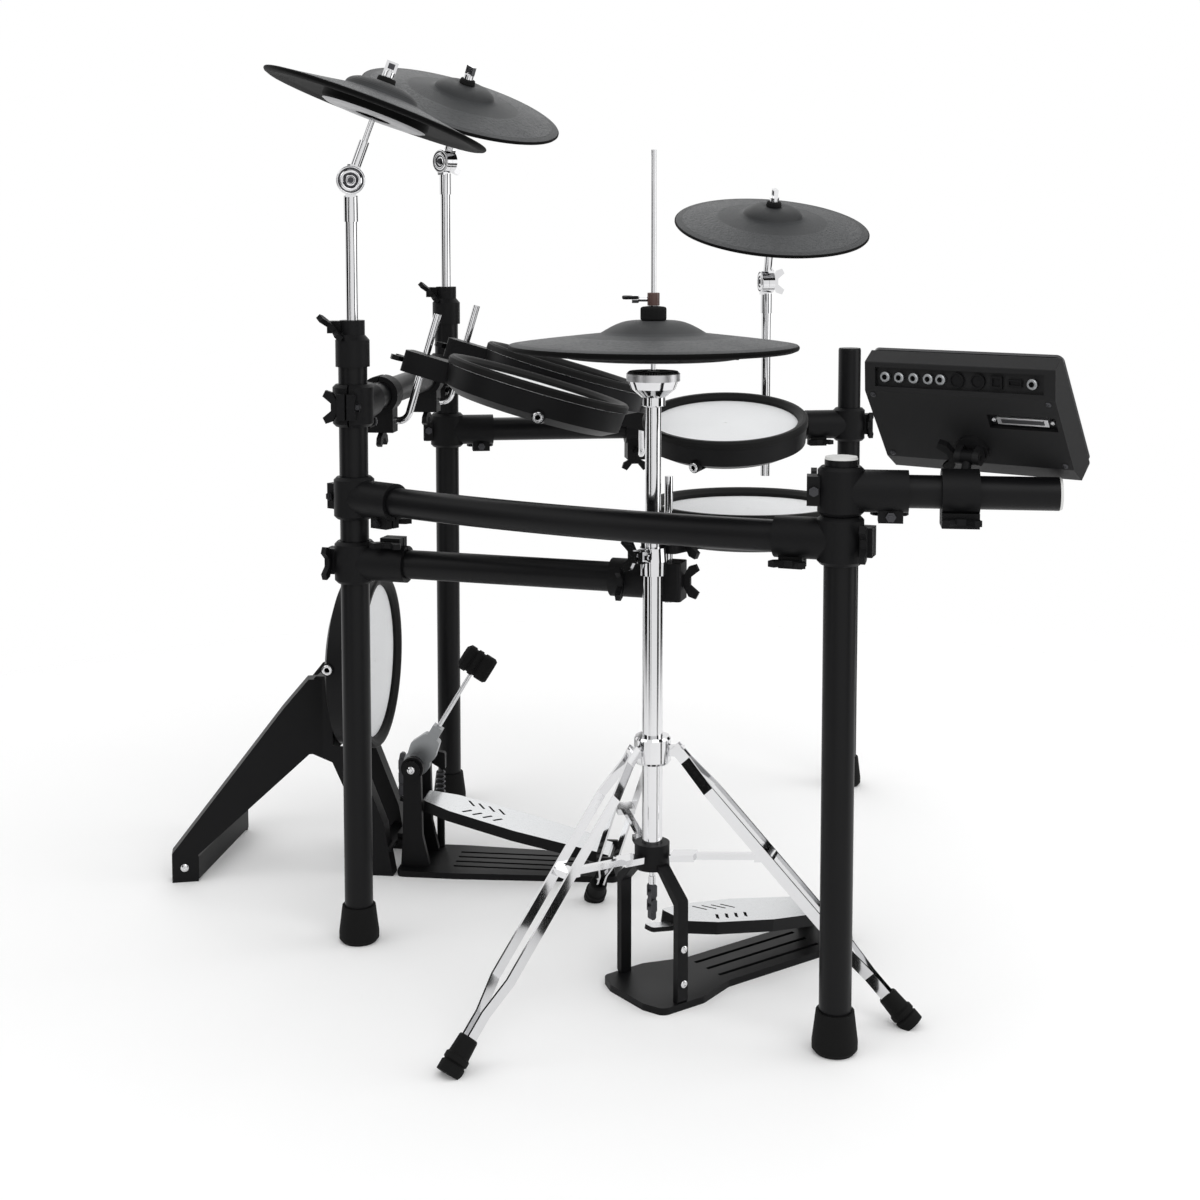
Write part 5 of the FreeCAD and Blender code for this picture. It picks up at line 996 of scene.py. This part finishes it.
class KIT_OT_pedals(bpy.types.Operator):
    """Finish both pedals: treads, bases, beater, chains, spring and bolts"""
    bl_idname = "kit.pedals"
    bl_label = "Pedals"

    def execute(self, context):
        kick_up = Vector((0, -math.sin(KICK_SLOPE), math.cos(KICK_SLOPE)))
        heel = -joint_axis("hihat_pedal").cross(UP)
        hat_up = UP * math.cos(HIHAT_SLOPE) + heel * math.sin(HIHAT_SLOPE)
        hat_turn = (0.0, 0.0, -math.atan2(heel.y, heel.x))
        self.tread("kick_footboard", kick_up, brushed_tread("kick_tread", (0.0, 0.0, 0.0), (60.0, 2.0, 30.0)))
        self.tread("hihat_footboard", hat_up, brushed_tread("hihat_tread", hat_turn, (2.0, 60.0, 30.0)))
        for node in ("kick_pedal_base", "hihat_pedal_frame"):
            dressed(node, sheet_paint())
        for node in ("kick_chain", "hihat_chain", "kick_spring"):
            dressed(node, dark_steel(), bevel=False)
        self.beater()
        self.frame_bolts()
        return {"FINISHED"}

    def tread(self, node, up, metal):
        dressed(node, sheet_paint(), metal)
        repaint(node, face_normals(node) @ np.array(up) > 0.9, 1)

    def frame_bolts(self):
        """Plated bolts on the outer faces of the hi-hat's frame and its casting."""
        axis = node_middle("hihat_pull_rod")
        side = joint_axis("hihat_pedal")
        side = Vector((side.x, side.y, 0)).normalized()
        ahead = UP.cross(side)
        places = vertex_places("hihat_pedal_frame")
        reach = (places - np.array(axis)) @ np.array(side)
        along = (places - np.array(axis)) @ np.array(ahead)
        bar = (places[:, 2] > FRAME_FOOT) & (places[:, 2] < FRAME_TOP) & (np.abs(along) < FRAME_HALF)
        outline = [(0.0002, -0.0002), (0.0048, -0.0002), (0.0048, 0.0030), (0.0028, 0.0038), (0.0002, 0.0030)]
        for sign, label in ((-1, "near"), (1, "far")):
            face = (reach[bar] * sign).max()
            middle = along[bar & (reach * sign > face - 0.001)].mean()
            for index, height in enumerate(BOLT_HEIGHTS):
                at = Vector((axis.x, axis.y, height)) + side * (sign * face) + ahead * middle
                bolt = turned(f"hihat_frame_bolt_{label}_{index}", outline, 0.0005, chrome(),
                              basis(at, side * sign, UP), 28)
                settle(bolt, "rack")

    def beater(self):
        """A cast hub, a plated rod, a rubber head and painted axle ends with bolts."""
        dressed("kick_beater", cast_grey(), chrome(), soft_rubber(), sheet_paint())
        axle = joint_point("kick_beater_swing")
        places = face_centres("kick_beater")
        rod = np.array((0, -math.sin(BEATER_LEAN), math.cos(BEATER_LEAN)))
        reach = (places - np.array(axle)) @ rod
        off = np.linalg.norm(np.cross(places - np.array(axle), rod), axis=1)
        repaint("kick_beater", (reach > ROD_START) & (off < ROD_REACH), 1)
        repaint("kick_beater", np.abs(places[:, 0]) > AXLE_END, 3)
        repaint("kick_beater", (reach > BEATER_HEAD) & (off >= ROD_REACH), 2)
        repaint("kick_beater", reach > ROD_END, 2)
        low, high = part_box("kick_beater")
        outline = [(0.0002, -0.0002), (0.0058, -0.0002), (0.0058, 0.0012), (0.0036, 0.0020), (0.0030, 0.0034),
                   (0.0002, 0.0034)]
        for end, out, name in ((low.x, -RIGHT, "left"), (high.x, RIGHT, "right")):
            bolt = turned("beater_axle_bolt_" + name, outline, 0.0005, chrome(),
                          basis(Vector((end, axle.y, axle.z)), out, UP), 32)
            settle(bolt, "kick_beater")


class KIT_OT_kick_tower(bpy.types.Operator):
    """Finish the folded tower of the kick pad and its toe bolts"""
    bl_idname = "kit.kick_tower"
    bl_label = "Kick tower"

    def execute(self, context):
        dressed("kick_tower", sheet_paint())
        low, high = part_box("kick_tower")
        outline = [(0.0002, -0.0002), (0.006, -0.0002), (0.006, 0.002), (0.003, 0.0034), (0.0002, 0.0026)]
        for index, (side, end) in enumerate(((-1, low.x), (1, high.x))):
            out = Vector((side * math.cos(TOE_SPLAY), -math.sin(TOE_SPLAY), 0))
            along = Vector((side * math.sin(TOE_SPLAY), math.cos(TOE_SPLAY), 0))
            toe = Vector((end, high.y - TOE_BACK, TOE_BOLT_HEIGHT))
            seat = basis(toe - along * TOE_BOLT_BACK, out, UP)
            bolt = turned(f"tower_bolt_{index}", outline, 0.0006, chrome(), seat, 32)
            settle(bolt, "rack")
        return {"FINISHED"}


class KIT_OT_sound_module(bpy.types.Operator):
    """Finish the sound module and model its screen, keys, lamps and screws"""
    bl_idname = "kit.sound_module"
    bl_label = "Sound module"

    def execute(self, context):
        dressed("module_case", case_black(), satin_silver())
        dressed("module_panel", panel_black())
        dressed("module_sockets", cast_grey(), moulded_black())
        for node in ("volume_knob", "data_dial", "start_button"):
            dressed(node, key_grey())
        self.across = joint_axis("module_tilt")
        self.face = -joint_axis("start_button_press")
        self.rise = self.face.cross(self.across)
        self.middle = node_middle("module_panel")
        self.sockets()
        self.plug()
        self.screen()
        self.keys()
        self.case_screws()
        return {"FINISHED"}

    def on_panel(self, x, y, lift=0.002):
        place = self.middle + self.across * x + self.rise * y + self.face * lift
        return basis(place, self.face, self.across)

    def on_back(self, x, y, depth):
        place = self.middle + self.across * x + self.rise * y - self.face * depth
        return basis(place, -self.face, self.across)

    def sockets(self):
        """Dark bores, and dark bodies for all but the ring jacks."""
        rise, back = SOCKET_SLOPE
        lift = face_centres("module_sockets") @ np.array((self.rise * rise - self.face * back).normalized())
        repaint("module_sockets", lift < lift.max() - SOCKET_RING, 1)

    def plug(self):
        """The multi-pin plug in the recess of the back, with its insert and two posts."""
        places = face_centres("module_case") - np.array(self.middle)
        x, y, back = (places @ np.array(axis) for axis in (self.across, self.rise, -self.face))
        shell = (abs(x - PLUG_X) < PLUG_HALF[0]) & (abs(y - PLUG_Y) < PLUG_HALF[1])
        repaint("module_case", shell & (back > PLUG_FLOOR + 0.0002) & (back < PLUG_FRONT + 0.0005), 1)
        pins = rounded_block("module_plug_pins", PLUG_PINS, self.on_back(PLUG_X, PLUG_Y, PLUG_FRONT),
                             panel_black(), 0.0003)
        settle(pins, "module")
        ring = [(0.0009, 0.0, 0), (0.0026, 0.0, 0), (0.0026, 0.0048, 0), (0.0009, 0.0048, 0)]
        for index, offset in enumerate((-POST_OFFSET, POST_OFFSET)):
            foot = self.on_back(PLUG_X + offset, PLUG_Y, PLUG_FLOOR)
            post = lathe(f"module_plug_post_{index}", ring, [satin_silver()], foot, 6)
            settle(post, "module")

    def screen(self):
        bezel = rounded_block("module_screen_bezel", SCREEN_BEZEL, self.on_panel(*SCREEN_AT), panel_black())
        glass = rounded_block("module_screen_glass", SCREEN_GLASS, self.on_panel(*SCREEN_AT, 0.0031),
                              screen_glass(), 0.0002)
        for piece in (bezel, glass):
            settle(piece, "module")

    def keys(self):
        """Rows of plain keys and small lamps on the panel."""
        for row, y in enumerate(KEY_ROWS):
            for column in range(4):
                x = KEY_START - column * KEY_PITCH
                seat = self.on_panel(x, y)
                key = rounded_block(f"module_key_{row}_{column}", KEY, seat, key_grey(), 0.0008)
                settle(key, "module")
                seat = self.on_panel(x, y + KEY_LAMP_ABOVE)
                lamp = rounded_block(f"module_lamp_{row}_{column}", KEY_LAMP, seat, lamp_red(), 0.0004)
                settle(lamp, "module")

    def case_screws(self):
        """Recess screws at the corners of the back."""
        outline = [(0.0002, 0.0), (0.0035, 0.0), (0.0035, 0.0008), (0.0012, 0.0014), (0.0002, 0.0006)]
        for index, (x, y) in enumerate(CASE_SCREWS):
            seat = self.on_back(x, y, CASE_BACK)
            screw = turned(f"module_screw_{index}", outline, 0.0003, dark_steel(), seat, 24)
            settle(screw, "module")


class KIT_OT_studio(bpy.types.Operator):
    """Set the floor, the soft lights, the world and the camera"""
    bl_idname = "kit.studio"
    bl_label = "Studio"

    def execute(self, context):
        self.floor(context.scene)
        self.cards()
        self.world(context.scene)
        self.lights(context.scene)
        self.camera(context.scene)
        context.scene.view_settings.view_transform = "Standard"
        return {"FINISHED"}

    def plain_material(self, name, colour):
        """A material without gloss; returns it with its tree and shader."""
        material = bpy.data.materials.new(name)
        material.use_nodes = True
        shader = material.node_tree.nodes["Principled BSDF"]
        shader.inputs["Base Color"].default_value = colour
        shader.inputs["Specular IOR Level"].default_value = 0.0
        return material, material.node_tree, shader

    def floor(self, scene):
        studio = scene.kit_studio
        material, tree, shader = self.plain_material("pale_floor", (0.985, 0.985, 0.985, 1))
        grain = add_node(tree, "ShaderNodeTexNoise", Scale=3.0, Detail=3.0)
        feed(tree, shader.inputs["Roughness"], span(tree, grain.outputs["Fac"], 0.6, 0.8))
        away = vector_node(tree, "LENGTH", object_place(tree)).outputs["Value"]
        whole = span(tree, away, 1.0, 0.0, studio.floor_start, studio.floor_end, "SMOOTHERSTEP")
        feed(tree, shader.inputs["Alpha"], whole)
        count = 96
        ring = [direction(math.tau * k / count) * studio.floor_end for k in range(count)]
        floor = new_piece("floor", ring, [tuple(range(count))], [material])
        floor.location = FLOOR_MIDDLE

    def cards(self):
        """Dark cards that only reflections see, so that plated tubes show dark streaks."""
        material, _, shader = self.plain_material("dark_card", (0.01, 0.01, 0.01, 1))
        shader.inputs["Roughness"].default_value = 0.95
        tall = UP * CARD_HALF
        for index, (degrees, half_width) in enumerate(CARDS):
            at = FLOOR_MIDDLE + direction(math.radians(degrees)) * CARD_DISTANCE + UP * CARD_MIDDLE
            aside = direction(math.radians(degrees + 90)) * half_width
            corners = [at - aside - tall, at + aside - tall, at + aside + tall, at - aside + tall]
            card = new_piece(f"card_{index}", corners, [(0, 1, 2, 3)], [material])
            card.visible_camera = False
            card.visible_diffuse = False
            card.visible_shadow = False
            card.visible_transmission = False

    def world(self, scene):
        """An even sky for light, and white where it is seen or mirrored."""
        world = bpy.data.worlds.new("studio")
        scene.world = world
        world.use_nodes = True
        tree = world.node_tree
        light = tree.nodes["Background"]
        light.inputs["Color"].default_value = (1, 1, 1, 1)
        light.inputs["Strength"].default_value = scene.kit_studio.sky
        seen = add_node(tree, "ShaderNodeBackground", Color=(1, 1, 1, 1), Strength=1.0)
        path = tree.nodes.new("ShaderNodeLightPath").outputs
        mirrored = math_node(tree, "MAXIMUM", path["Is Glossy Ray"], path["Is Transmission Ray"])
        direct = math_node(tree, "MAXIMUM", path["Is Camera Ray"], mirrored)
        mix = tree.nodes.new("ShaderNodeMixShader")
        for socket, value in zip(mix.inputs, (direct, light.outputs[0], seen.outputs[0])):
            feed(tree, socket, value)
        feed(tree, tree.nodes["World Output"].inputs["Surface"], mix.outputs[0])

    def lights(self, scene):
        for name, place, size, share in LIGHTS:
            lamp = bpy.data.lights.new(name, "AREA")
            lamp.energy = scene.kit_studio.key_power * share
            lamp.size = size
            holder = bpy.data.objects.new(name, lamp)
            scene.collection.objects.link(holder)
            holder.location = place
            holder.rotation_mode = "QUATERNION"
            holder.rotation_quaternion = (LIT_POINT - Vector(place)).to_track_quat("-Z", "Y")

    def camera(self, scene):
        studio = scene.kit_studio
        lens = bpy.data.cameras.new("camera")
        lens.sensor_width = 36
        lens.lens = studio.lens
        lens.shift_y = studio.lens_shift
        lens.clip_end = 100
        camera = bpy.data.objects.new("camera", lens)
        scene.collection.objects.link(camera)
        camera.location = studio.camera_place
        pitch = studio.camera_pitch
        look = direction(studio.camera_turn) * math.cos(pitch) - UP * math.sin(pitch)
        camera.rotation_mode = "QUATERNION"
        camera.rotation_quaternion = look.to_track_quat("-Z", "Y")
        scene.camera = camera


OPERATORS = (KIT_OT_rack, KIT_OT_chromework, KIT_OT_cymbals, KIT_OT_drums, KIT_OT_pedals, KIT_OT_kick_tower,
             KIT_OT_sound_module, KIT_OT_studio)


class KIT_PT_sidebar(bpy.types.Panel):
    """Sizes, colours and steps of the drum kit"""
    bl_idname = "KIT_PT_sidebar"
    bl_label = "Drum kit"
    bl_space_type = "VIEW_3D"
    bl_region_type = "UI"
    bl_category = "Drum kit"

    def draw(self, context):
        for settings in (context.scene.kit_sizes, context.scene.kit_colours, context.scene.kit_studio):
            for field in settings.bl_rna.properties:
                if field.identifier not in {"rna_type", "name"}:
                    self.layout.prop(settings, field.identifier)
        for operator in OPERATORS:
            self.layout.operator(operator.bl_idname)


CLASSES = (KitColours, KitSizes, KitStudio) + OPERATORS + (KIT_PT_sidebar,)


def register():
    for kind in CLASSES:
        bpy.utils.register_class(kind)
    bpy.types.Scene.kit_colours = bpy.props.PointerProperty(type=KitColours)
    bpy.types.Scene.kit_sizes = bpy.props.PointerProperty(type=KitSizes)
    bpy.types.Scene.kit_studio = bpy.props.PointerProperty(type=KitStudio)


def unregister():
    del bpy.types.Scene.kit_studio
    del bpy.types.Scene.kit_sizes
    del bpy.types.Scene.kit_colours
    for kind in reversed(CLASSES):
        bpy.utils.unregister_class(kind)


def main():
    register()
    bpy.ops.kit.rack()
    bpy.ops.kit.chromework()
    bpy.ops.kit.cymbals()
    bpy.ops.kit.drums()
    bpy.ops.kit.pedals()
    bpy.ops.kit.kick_tower()
    bpy.ops.kit.sound_module()
    bpy.ops.kit.studio()


if __name__ == "__main__":
    main()
